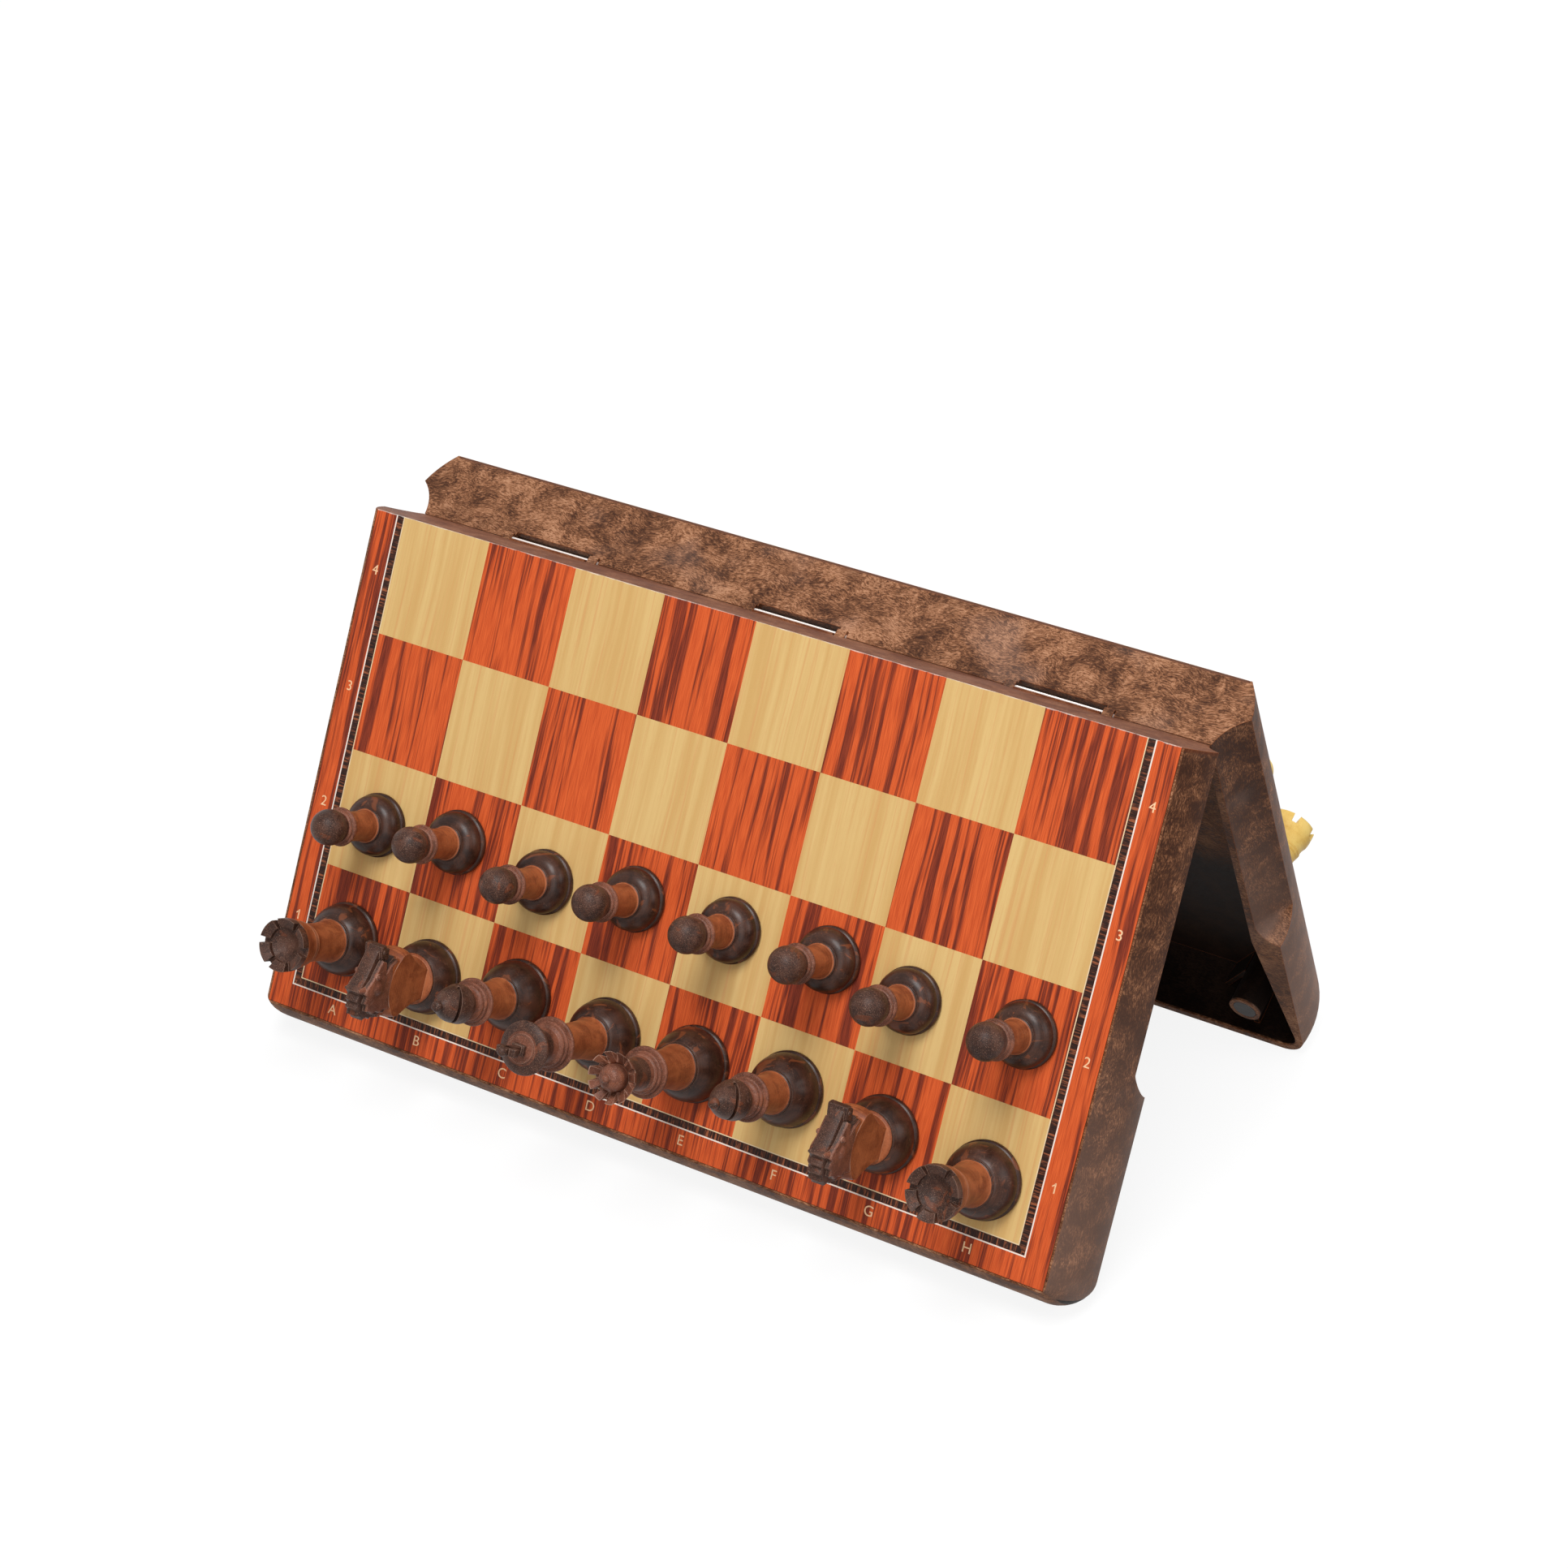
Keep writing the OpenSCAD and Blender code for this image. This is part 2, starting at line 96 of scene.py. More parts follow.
Colour = tuple[float, float, float, float]
Socket = bpy.types.NodeSocket
Feed = Union[Socket, float, Sequence[float]]


def ink(red: float, green: float, blue: float) -> Colour:
    """Turns a display colour of 0 to 255 into the linear colour that a shader takes.

    Args:
        red: Red part.
        green: Green part.
        blue: Blue part.

    Returns:
        Linear red, green, blue and an alpha of 1.
    """

    def linear(part: float) -> float:
        """Undoes the display curve for one part."""
        share = part / 255.0
        return share / 12.92 if share <= 0.04045 else ((share + 0.055) / 1.055) ** 2.4

    return (linear(red), linear(green), linear(blue), 1.0)


# ---------------------------------------------------------------------------
# The frame of each half
# ---------------------------------------------------------------------------


class Side(Enum):
    """The two halves of the case; the value is the sign of their y."""

    FRONT = -1
    REAR = 1


@dataclass
class Half:
    """One half of the case and the flat frame that it is laid out in."""

    side: Side
    hinge: Vector
    up: Vector

    @classmethod
    def from_frame(cls, frame: dict[str, Any], side: Side) -> "Half":
        """Reads a half's frame from the joints.

        Args:
            side: Which half.

        Returns:
            The half with its hinge point and the direction out of its face.
        """
        name = f"{side.name.lower()}_half"
        hinge = next(j for j in frame["joints"] if j["type"] == "hinge")
        lift = next(j for j in frame["joints"] if j["type"] == "slide" and j["parent"] == name)
        return cls(side, Vector(hinge["pos_m"]), Vector(lift["axis"]).normalized())

    @property
    def name(self) -> str:
        """The side's word in node names."""
        return self.side.name.lower()

    @property
    def body(self) -> str:
        """The CAD body of the half."""
        return f"{self.name}_half"

    @property
    def out(self) -> Vector:
        """The direction away from the hinge along the face."""
        return Vector((0.0, self.side.value * self.up.z, -abs(self.up.y)))

    @property
    def matrix(self) -> Matrix:
        """Takes the flat frame's x, u and w to the object's place."""
        columns = Matrix((Vector((1.0, 0.0, 0.0)), self.out, self.up)).transposed()
        return Matrix.Translation(self.hinge) @ columns.to_4x4()

    def flat_points(self, node: str) -> list[Vector]:
        """Gives a CAD node's vertices in the flat frame.

        Args:
            node: The node's name.

        Returns:
            One vector of x, u and w per vertex, in metres.
        """
        back = self.matrix.inverted()
        return [back @ v.co for v in bpy.data.objects[node].data.vertices]

    def flat_box(self, node: str) -> tuple[Vector, Vector]:
        """Gives a CAD node's lowest and highest x, u and w."""
        points = self.flat_points(node)
        low = Vector([min(p[i] for p in points) for i in range(3)])
        high = Vector([max(p[i] for p in points) for i in range(3)])
        return low, high

    def foot(self, node: str) -> Vector:
        """Finds the middle of the foot that a man stands on.

        Args:
            node: The man's node.

        Returns:
            Its x, u and w in the flat frame.
        """
        points = self.flat_points(node)
        ground = min(p.z for p in points)
        ring = [p for p in points if p.z < ground + 0.1 * MM]
        middle = [(min(p[i] for p in ring) + max(p[i] for p in ring)) / 2 for i in (0, 1)]
        return Vector((*middle, ground))


# ---------------------------------------------------------------------------
# Materials
# ---------------------------------------------------------------------------


class Recipe:
    """One material being mixed from shader nodes."""

    def __init__(self, name: str) -> None:
        """Starts a material with a plain surface shader.

        Args:
            name: The material's name.
        """
        self.material = bpy.data.materials.new(name)
        self.material.use_nodes = True
        self.tree = self.material.node_tree
        self.shader = self.tree.nodes["Principled BSDF"]

    def feed(self, socket: Socket, value: Feed) -> None:
        """Links a socket to another one, or sets its number or colour."""
        if isinstance(value, bpy.types.NodeSocket):
            self.tree.links.new(value, socket)
        else:
            socket.default_value = value

    def node(self, kind: str, inputs: dict[Any, Feed], **settings: Any) -> bpy.types.Node:
        """Adds a shader node.

        Args:
            kind: The node's type.
            inputs: Socket names or numbers, and what feeds them.
            **settings: The node's own settings.

        Returns:
            The new node.
        """
        made = self.tree.nodes.new(kind)
        for key, value in settings.items():
            setattr(made, key, value)
        for key, value in inputs.items():
            self.feed(made.inputs[key], value)
        return made

    def math(self, operation: str, *values: Feed, clamp: bool = False) -> Socket:
        """Does arithmetic on numbers."""
        feeds = dict(enumerate(values))
        return self.node("ShaderNodeMath", feeds, operation=operation, use_clamp=clamp).outputs[0]

    def total(self, *parts: tuple[Feed, float]) -> Socket:
        """Adds up sockets, each times its share."""
        result: Feed = 0.0
        for value, share in parts:
            result = self.math("MULTIPLY_ADD", value, share, result)
        return result

    def vector(self, operation: str, first: Feed, second: Feed) -> Socket:
        """Does arithmetic on vectors."""
        made = self.node("ShaderNodeVectorMath", {0: first}, operation=operation)
        self.feed(made.inputs["Scale" if operation == "SCALE" else 1], second)
        return made.outputs["Value" if operation == "DOT_PRODUCT" else "Vector"]

    def vector_length(self, vector: Feed) -> Socket:
        """Measures a vector."""
        return self.node("ShaderNodeVectorMath", {0: vector}, operation="LENGTH").outputs[1]

    def combine(self, x: Feed, y: Feed, z: Feed) -> Socket:
        """Makes a vector of three numbers."""
        return self.node("ShaderNodeCombineXYZ", {0: x, 1: y, 2: z}).outputs[0]

    def scaled(self, coords: Sequence[Socket], scale: Sequence[float], seed: Feed = 0.0) -> Socket:
        """Makes a noise vector: each coordinate times its own scale, and a seed on the last."""
        parts = [self.math("MULTIPLY", c, s) for c, s in zip(coords, scale)]
        parts += [0.0] * (3 - len(parts))
        parts[2] = self.math("ADD", parts[2], seed)
        return self.combine(*parts)

    def noise(
        self,
        vector: Socket,
        detail: float = 2.0,
        rough: float = 0.5,
        warp: float = 0.0,
        scale: float = 1.0,
    ) -> Socket:
        """Adds fractal noise.

        Args:
            vector: Where to read it.
            detail: Octaves.
            rough: Weight of the finer octaves.
            warp: Distortion.
            scale: Overall scale.

        Returns:
            The noise value.
        """
        feeds = {"Vector": vector, "Scale": scale, "Detail": detail}
        feeds |= {"Roughness": rough, "Distortion": warp}
        return self.node("ShaderNodeTexNoise", feeds).outputs[0]

    def step(
        self, value: Feed, low: float, high: float, to: tuple[float, float] = (0.0, 1.0)
    ) -> Socket:
        """Rises smoothly between two thresholds.

        Args:
            value: The number read.
            low: Where the rise starts.
            high: Where it ends.
            to: The values at both ends.

        Returns:
            The eased value.
        """
        feeds = {
            "Value": value, "From Min": low, "From Max": high, "To Min": to[0], "To Max": to[1],
        }
        return self.node("ShaderNodeMapRange", feeds, interpolation_type="SMOOTHSTEP").outputs[0]

    def mix(self, share: Feed, first: Feed, second: Feed) -> Socket:
        """Mixes two colours."""
        made = self.node("ShaderNodeMix", {0: share, 6: first, 7: second}, data_type="RGBA")
        return made.outputs[2]

    def ramp(self, value: Socket, stops: Sequence[tuple[float, Colour]]) -> Socket:
        """Turns a number into a colour.

        Args:
            value: The number.
            stops: Places and their colours.

        Returns:
            The colour.
        """
        made = self.node("ShaderNodeValToRGB", {0: value})
        marks = made.color_ramp.elements
        while len(marks) < len(stops):
            marks.new(0.5)
        for mark, (place, colour) in zip(marks, stops):
            mark.position = place
            mark.color = colour
        return made.outputs[0]

    def place(self) -> Socket:
        """Gives the place in the object, in millimetres."""
        coords = self.node("ShaderNodeTexCoord", {}).outputs["Object"]
        return self.vector("SCALE", coords, 1 / MM)

    def flat(self, half: Half) -> tuple[Socket, Socket, Socket]:
        """Gives x, u and w in a half's flat frame, in millimetres."""
        coords = self.node("ShaderNodeTexCoord", {}).outputs["Object"]
        local = self.vector("SCALE", self.vector("SUBTRACT", coords, half.hinge), 1 / MM)
        return (
            self.vector("DOT_PRODUCT", local, (1.0, 0.0, 0.0)),
            self.vector("DOT_PRODUCT", local, half.out),
            self.vector("DOT_PRODUCT", local, half.up),
        )

    def rounded(self, radius: float) -> tuple[Socket, Socket]:
        """Softens edges in the shading.

        Args:
            radius: The edge radius, in metres.

        Returns:
            The softened normal, and a mask that is 1 on the edges.
        """
        soft = self.node("ShaderNodeBevel", {"Radius": radius}, samples=6).outputs[0]
        plain = self.node("ShaderNodeNewGeometry", {}).outputs["Normal"]
        away = self.math("SUBTRACT", 1.0, self.vector("DOT_PRODUCT", soft, plain))
        return soft, self.step(away, 0.03, 0.25)

    def bump(self, height: Socket, depth: float, normal: Optional[Socket] = None) -> Socket:
        """Raises the surface by a height of 0 to 1 times a depth in metres."""
        feeds: dict[Any, Feed] = {"Strength": 1.0, "Distance": depth, "Height": height}
        if normal is not None:
            feeds["Normal"] = normal
        return self.node("ShaderNodeBump", feeds).outputs[0]

    def finish(self, **sockets: Feed) -> bpy.types.Material:
        """Feeds the shader and hands the material over.

        Args:
            **sockets: Shader sockets by name, with _ for a space.

        Returns:
            The material.
        """
        for key, value in sockets.items():
            self.feed(self.shader.inputs[key.replace("_", " ")], value)
        return self.material


@dataclass(frozen=True)
class BoardPrint:
    """The printed sheet: veneer squares, a banded ebony strip between lines, and a border."""

    square_w: float = 33.5
    square_h: float = 39.0
    line_in: float = 0.35
    strip: tuple[float, float] = (0.5, 2.7)
    line_out: tuple[float, float] = (2.75, 3.2)
    rust: Colour = ink(222, 100, 50)
    rust_deep: Colour = ink(194, 78, 38)
    fringe: Colour = ink(160, 64, 34)
    streak: Colour = ink(100, 38, 26)
    streak_soft: Colour = ink(140, 58, 36)
    maple: Colour = ink(222, 187, 124)
    maple_deep: Colour = ink(210, 168, 105)
    maple_vein: Colour = ink(212, 154, 98)
    ebony: Colour = ink(40, 24, 20)
    ebony_mid: Colour = ink(72, 42, 32)
    ebony_bar: Colour = ink(150, 86, 56)
    cream: Colour = ink(232, 205, 165)
    white: Colour = ink(240, 228, 216)
    core: Colour = ink(96, 62, 46)

    def build(self, half: Half) -> bpy.types.Material:
        """Mixes the print for one half.

        Args:
            half: The half that carries the sheet.

        Returns:
            The material.
        """
        mix = Recipe(f"{half.name}_board_print")
        x, u, w = mix.flat(half)
        low, high = half.flat_box(f"{half.name}_board_sheet")
        column = mix.math("FLOOR", mix.math("ADD", mix.math("DIVIDE", x, self.square_w), 4.0))
        row = mix.math("FLOOR", mix.math("DIVIDE", u, self.square_h))
        phase = 0.0 if half.side is Side.FRONT else 1.0
        parity = mix.math("MODULO", mix.math("ADD", mix.math("ADD", column, row), phase), 2.0)
        over_x = mix.math("SUBTRACT", mix.math("ABSOLUTE", x), 4 * self.square_w)
        over_u = mix.math("SUBTRACT", u, 4 * self.square_h)
        outside = mix.math("MAXIMUM", over_x, over_u)
        framed = mix.math("GREATER_THAN", outside, 0.0)
        dark = mix.math("MAXIMUM", mix.math("GREATER_THAN", parity, 0.5), framed)
        own = mix.total((column, 3.17), (row, 5.23), (phase, 61.0))
        seed = mix.math("MULTIPLY", own, mix.math("SUBTRACT", 1.0, framed))

        wander = mix.noise(mix.scaled((x, u), (0.03, 0.018), seed), 1.0)
        bent = mix.total((x, 1.0), (wander, 2.4))
        rust, depth = self.veneer(mix, bent, u, seed)
        maple = self.maple_grain(mix, bent, u, seed)
        colour = mix.mix(dark, maple, rust)

        beside = mix.math("GREATER_THAN", over_x, over_u)
        along = mix.total((x, 1.0), (mix.math("MULTIPLY", beside, mix.math("SUBTRACT", u, x)), 1.0))
        bars = mix.noise(mix.scaled((along, outside), (1.15, 0.1), 77.0), 3.0, 0.7)
        strip = mix.ramp(
            bars,
            [(0.0, self.ebony), (0.45, self.ebony), (0.53, self.ebony_mid), (0.61, self.ebony_bar)],
        )
        colour = self.band(mix, outside, 0.0, self.line_in, colour, self.cream)
        colour = self.band(mix, outside, self.line_in, self.strip[0], colour, self.ebony)
        colour = self.band(mix, outside, *self.strip, colour, strip)
        colour = self.band(mix, outside, *self.line_out, colour, self.white)

        rub = mix.noise(mix.scaled((x, u), (0.16, 0.5), 12.0), 3.0, 0.65)
        start = low.y / MM
        worn = mix.step(mix.total((u, -1.0), (rub, 1.2)), 0.3 - start, 0.6 - start, (0.0, 0.6))
        colour = mix.mix(worn, colour, self.white)
        printed = mix.step(w, high.z / MM - 0.08, high.z / MM - 0.03)
        colour = mix.mix(printed, self.core, colour)

        fibre = mix.noise(mix.scaled((bent, u), (5.0, 0.35), seed), 2.0)
        soft, _ = mix.rounded(0.25 * MM)
        relief = mix.total((fibre, 0.6), (depth, -0.3))
        return mix.finish(
            Base_Color=colour,
            Roughness=mix.step(fibre, 0.2, 0.8, (0.38, 0.52)),
            Specular_IOR_Level=0.15,
            Normal=mix.bump(relief, 0.03 * MM, soft),
        )

    @staticmethod
    def band(
        mix: Recipe, place: Socket, low: float, high: float, under: Socket, over: Feed
    ) -> Socket:
        """Lays a line over a colour between two distances from the squares."""
        inside = mix.math(
            "MULTIPLY", mix.math("GREATER_THAN", place, low), mix.math("LESS_THAN", place, high)
        )
        return mix.mix(inside, under, over)

    def veneer(self, mix: Recipe, x: Socket, u: Socket, seed: Socket) -> tuple[Socket, Socket]:
        """Mixes the rust veneer with its dark streaks.

        Args:
            mix: The material.
            x: Place across the grain.
            u: Place along the grain.
            seed: Number of the square.

        Returns:
            The colour, and how dark the streak is.
        """
        crowd = mix.noise(mix.scaled((x, u), (0.07, 0.004), seed), 1.0)
        broad = mix.noise(mix.scaled((x, u), (0.42, 0.012), seed), 2.0, 0.55)
        fine = mix.noise(mix.scaled((x, u), (1.7, 0.03), seed), 2.0)
        hair = mix.noise(mix.scaled((x, u), (4.4, 0.12), seed), 2.0)
        mass = mix.total((crowd, 0.35), (broad, 1.0), (fine, 0.42), (hair, 0.08))
        streak = mix.step(mass, 0.95, 1.015)
        ground = mix.mix(mix.step(hair, 0.3, 0.7), self.rust, self.rust_deep)
        ground = mix.mix(mix.step(mass, 0.88, 0.96, (0.0, 0.7)), ground, self.fringe)
        shade = mix.mix(mix.step(hair, 0.35, 0.65), self.streak, self.streak_soft)
        return mix.mix(streak, ground, shade), streak

    def maple_grain(self, mix: Recipe, x: Socket, u: Socket, seed: Socket) -> Socket:
        """Mixes the pale veneer with faint straight veins."""
        cloud = mix.noise(mix.scaled((x, u), (0.3, 0.008), seed), 3.0, 0.6)
        vein = mix.noise(mix.scaled((x, u), (1.3, 0.012), seed), 2.0)
        pore = mix.noise(mix.scaled((x, u), (3.4, 0.16), seed), 2.0)
        ground = mix.mix(mix.step(cloud, 0.32, 0.68), self.maple, self.maple_deep)
        ground = mix.mix(mix.step(vein, 0.54, 0.7, (0.0, 0.55)), ground, self.maple_vein)
        return mix.mix(mix.step(pore, 0.56, 0.72, (0.0, 0.3)), ground, self.maple_vein)


@dataclass(frozen=True)
class BurlPlastic:
    """Moulded brown plastic with swirling fibres, dark burls, and edges lightened by rubbing and a
    painted highlight.
    """

    black: Colour = ink(30, 18, 14)
    deep: Colour = ink(62, 36, 24)
    brown: Colour = ink(106, 68, 46)
    tan: Colour = ink(148, 100, 70)
    pale: Colour = ink(184, 136, 104)
    ash: Colour = ink(150, 128, 118)
    rubbed: Colour = ink(160, 90, 50)
    smoke: Colour = ink(158, 128, 114)
    worn: Colour = ink(92, 44, 22)
    soot: Colour = ink(13, 8, 7)

    def build(self, half: Half) -> bpy.types.Material:
        """Mixes the case plastic for one half."""
        mix = Recipe(f"{half.name}_burl_plastic")
        coords = mix.flat(half)
        swirl = mix.node(
            "ShaderNodeTexNoise",
            {"Vector": mix.scaled(coords, (0.06,) * 3, 3.0), "Scale": 1.0, "Detail": 2.0},
        ).outputs["Color"]
        bent = mix.node("ShaderNodeSeparateXYZ", {0: swirl}).outputs
        moved = [mix.total((c, 1.0), (b, 10.0)) for c, b in zip(coords, bent)]
        facing = mix.node("ShaderNodeTexCoord", {}).outputs["Normal"]
        sideways = mix.vector("DOT_PRODUCT", facing, (1.0, 0.0, 0.0))
        end_on = mix.step(mix.math("ABSOLUTE", sideways), 0.4, 0.7)
        fibre = self.along(mix, moved, end_on, 0.6, 2.4, 3.0)
        fleck = self.along(mix, moved, end_on, 1.7, 5.6, 2.0)
        burl = mix.noise(mix.scaled(moved, (0.11,) * 3, 8.0), 4.0, 0.7)
        cloud = mix.noise(mix.scaled(coords, (0.035,) * 3, 21.0), 2.0, 0.5)
        # Painted shade: the end walls get a darker tone than the faces that look up.
        tone = mix.total((fibre, 0.75), (burl, 0.6), (fleck, 0.45), (end_on, -0.11))
        colour = mix.ramp(
            mix.step(tone, 0.7, 1.11),
            [(0.0, self.deep), (0.34, self.brown), (0.66, self.tan), (1.0, self.pale)],
        )
        colour = mix.mix(mix.step(cloud, 0.54, 0.72, (0.0, 0.2)), colour, self.ash)
        colour = mix.mix(mix.step(cloud, 0.46, 0.3, (0.0, 0.45)), colour, self.deep)
        pit = mix.total((fleck, 1.0), (burl, -0.5))
        colour = mix.mix(mix.step(pit, 0.33, 0.45, (0.0, 0.75)), colour, self.black)
        # Painted sheen: a grey cast laid on the end walls, growing away from the hinge.
        near, most = (40.0, 0.34) if half.side is Side.FRONT else (0.0, 0.42)
        haze = mix.math("MULTIPLY", end_on, mix.step(coords[1], near, 165.0, (0.0, most)))
        colour = mix.mix(haze, colour, self.smoke)
        # The front shell is made darker within about 1.6 mm of its hinge edge.
        if half.side is Side.FRONT:
            colour = mix.mix(mix.step(coords[1], 1.6, 0.6, (0.0, 0.6)), colour, self.worn)
        # Painted shade: the storage space darkens away from the hinge.
        colour = mix.mix(self.inside(mix, coords), colour, self.soot)
        soft, edge = mix.rounded(0.45 * MM)
        # Edges are lightened: partly rubbed wear, partly a painted highlight.
        colour = mix.mix(mix.math("MULTIPLY", edge, 0.85), colour, self.rubbed)
        return mix.finish(
            Base_Color=colour,
            Roughness=mix.step(fibre, 0.25, 0.75, (0.48, 0.65)),
            Specular_IOR_Level=0.1,
            Normal=mix.bump(mix.total((fibre, 0.6), (fleck, 0.4)), 0.05 * MM, soft),
        )

    @staticmethod
    def inside(mix: Recipe, coords: Sequence[Socket]) -> Socket:
        """Masks the storage space for painted shade, which deepens away from the hinge.

        Args:
            mix: The material.
            coords: Plain x, u and w.

        Returns:
            0 outside, up to 1 inside.
        """
        x, u, w = mix.math("ABSOLUTE", coords[0]), coords[1], coords[2]
        low = mix.math("SUBTRACT", w, 6.0)
        share = mix.math("MULTIPLY", mix.step(w, 0.6, 1.2), mix.step(w, 23.4, 23.0))
        for place, axis in ((x, 119.1), (u, 141.1)):
            reach = mix.math("MAXIMUM", mix.math("SUBTRACT", place, axis), 0.0)
            radius = mix.vector_length(mix.combine(reach, low, 0.0))
            share = mix.math("MULTIPLY", share, mix.step(radius, 31.6, 31.3))
        beside = mix.math("MAXIMUM", mix.step(x, 143.4, 143.0), mix.step(u, 110.0, 111.0))
        # The painted shade deepens from 86 to 110 mm away from the hinge.
        run = mix.step(u, 86.0, 110.0, (0.0, 0.95))
        return mix.math("MULTIPLY", share, mix.math("MULTIPLY", beside, run))

    @staticmethod
    def along(
        mix: Recipe,
        coords: Sequence[Socket],
        end_on: Socket,
        slow: float,
        fast: float,
        detail: float,
    ) -> Socket:
        """Stretches noise along the hinge, or away from it on the end walls.

        Args:
            mix: The material.
            coords: Bent x, u and w.
            end_on: 1 on the end walls.
            slow: Scale along the fibres.
            fast: Scale across them.
            detail: Octaves.

        Returns:
            The noise value.
        """
        wide = mix.noise(mix.scaled(coords, (slow, fast, fast)), detail, 0.65)
        deep = mix.noise(mix.scaled(coords, (fast, slow, fast)), detail, 0.65)
        turned = mix.math("MULTIPLY", mix.math("SUBTRACT", deep, wide), end_on)
        return mix.math("ADD", wide, turned)


@dataclass(frozen=True)
class MarbledPlastic:
    """Plastic of the dark men: a ground with lathe rings, speckles, patches and thin veins."""

    name: str
    ground: Colour
    shade: Colour
    patch: Colour
    rubbed: Colour
    gloss: float
    coat: float = 0.0
    patches: float = 0.5
    speckle: float = 0.0
    rings: float = 0.0

    def build(self, half: Half) -> bpy.types.Material:
        """Mixes the plastic for the men of one half."""
        mix = Recipe(self.name)
        spot = mix.place()
        rise = mix.flat(half)[2]
        cloud = mix.noise(spot, 4.0, 0.6, 0.8, 0.16)
        grain = mix.noise(spot, 3.0, 0.6, 0.0, 2.6)
        ring = mix.noise(mix.combine(0.0, 0.0, mix.math("MULTIPLY", rise, 2.4)), 2.0)
        tone = mix.total((cloud, 0.7), (grain, 0.3 + self.speckle), (ring, self.rings))
        middle = 0.5 * (1.0 + self.speckle + self.rings)
        colour = mix.mix(mix.step(tone, middle - 0.16, middle + 0.16), self.shade, self.ground)
        marble = mix.noise(spot, 3.0, 0.55, 1.6, 0.11)
        colour = mix.mix(mix.step(marble, 0.6, 0.66, (0.0, self.patches)), colour, self.patch)
        vein = mix.math("ABSOLUTE", mix.math("SUBTRACT", marble, 0.565))
        thread = mix.step(vein, 0.0, 0.006, (0.45 * self.patches, 0.0))
        colour = mix.mix(thread, colour, self.rubbed)
        dots = mix.noise(spot, 1.0, 0.5, 0.0, 4.5)
        colour = mix.mix(mix.step(dots, 0.62, 0.72, (0.0, 1.6 * self.speckle)), colour, self.rubbed)
        soft, edge = mix.rounded(0.4 * MM)
        # Edges are lightened: partly rubbed wear, partly a painted highlight. The same colour also
        # tints the veins and speckles.
        colour = mix.mix(mix.math("MULTIPLY", edge, 0.7), colour, self.rubbed)
        relief = mix.total((grain, 0.4 + self.speckle), (ring, 0.4 * self.rings))
        return mix.finish(
            Base_Color=colour,
            Roughness=mix.step(grain, 0.25, 0.75, (self.gloss - 0.05, self.gloss + 0.08)),
            Coat_Weight=self.coat,
            Coat_Roughness=0.2,
            Specular_IOR_Level=0.2,
            Normal=mix.bump(relief, (0.02 + 0.12 * self.speckle) * MM, soft),
        )


@dataclass(frozen=True)
class Metal:
    """Plain bright or dark metal with fine scratches."""

    name: str
    tone: Colour
    gloss: float
    metallic: float = 1.0

    def build(self) -> bpy.types.Material:
        """Mixes the metal."""
        mix = Recipe(self.name)
        spot = mix.place()
        haze = mix.noise(spot, 3.0, 0.6, 0.0, 0.7)
        scratch = mix.noise(mix.vector("MULTIPLY", spot, (0.4, 6.0, 6.0)), 2.0)
        deep = tuple(0.82 * part for part in self.tone[:3]) + (1.0,)
        return mix.finish(
            Base_Color=mix.mix(haze, self.tone, deep),
            Metallic=self.metallic,
            Roughness=mix.step(scratch, 0.3, 0.7, (self.gloss, self.gloss + 0.14)),
            Normal=mix.bump(scratch, 0.01 * MM),
        )


@dataclass(frozen=True)
class PrintedInk:
    """Pale ink of the coordinates."""

    tone: Colour = ink(246, 204, 160)
    faded: Colour = ink(232, 178, 130)

    def build(self) -> bpy.types.Material:
        """Mixes the ink."""
        mix = Recipe("coordinate_ink")
        worn = mix.noise(mix.place(), 3.0, 0.6, 0.0, 1.4)
        return mix.finish(
            Base_Color=mix.mix(mix.step(worn, 0.4, 0.65), self.tone, self.faded),
            Roughness=mix.step(worn, 0.2, 0.8, (0.4, 0.55)),
        )


# ---------------------------------------------------------------------------
# Men
# ---------------------------------------------------------------------------


class Band(Enum):
    """The zones of a man, in the order of his material slots."""

    FOOT = 0
    STEM = 1
    COLLAR = 2
    HEAD = 3


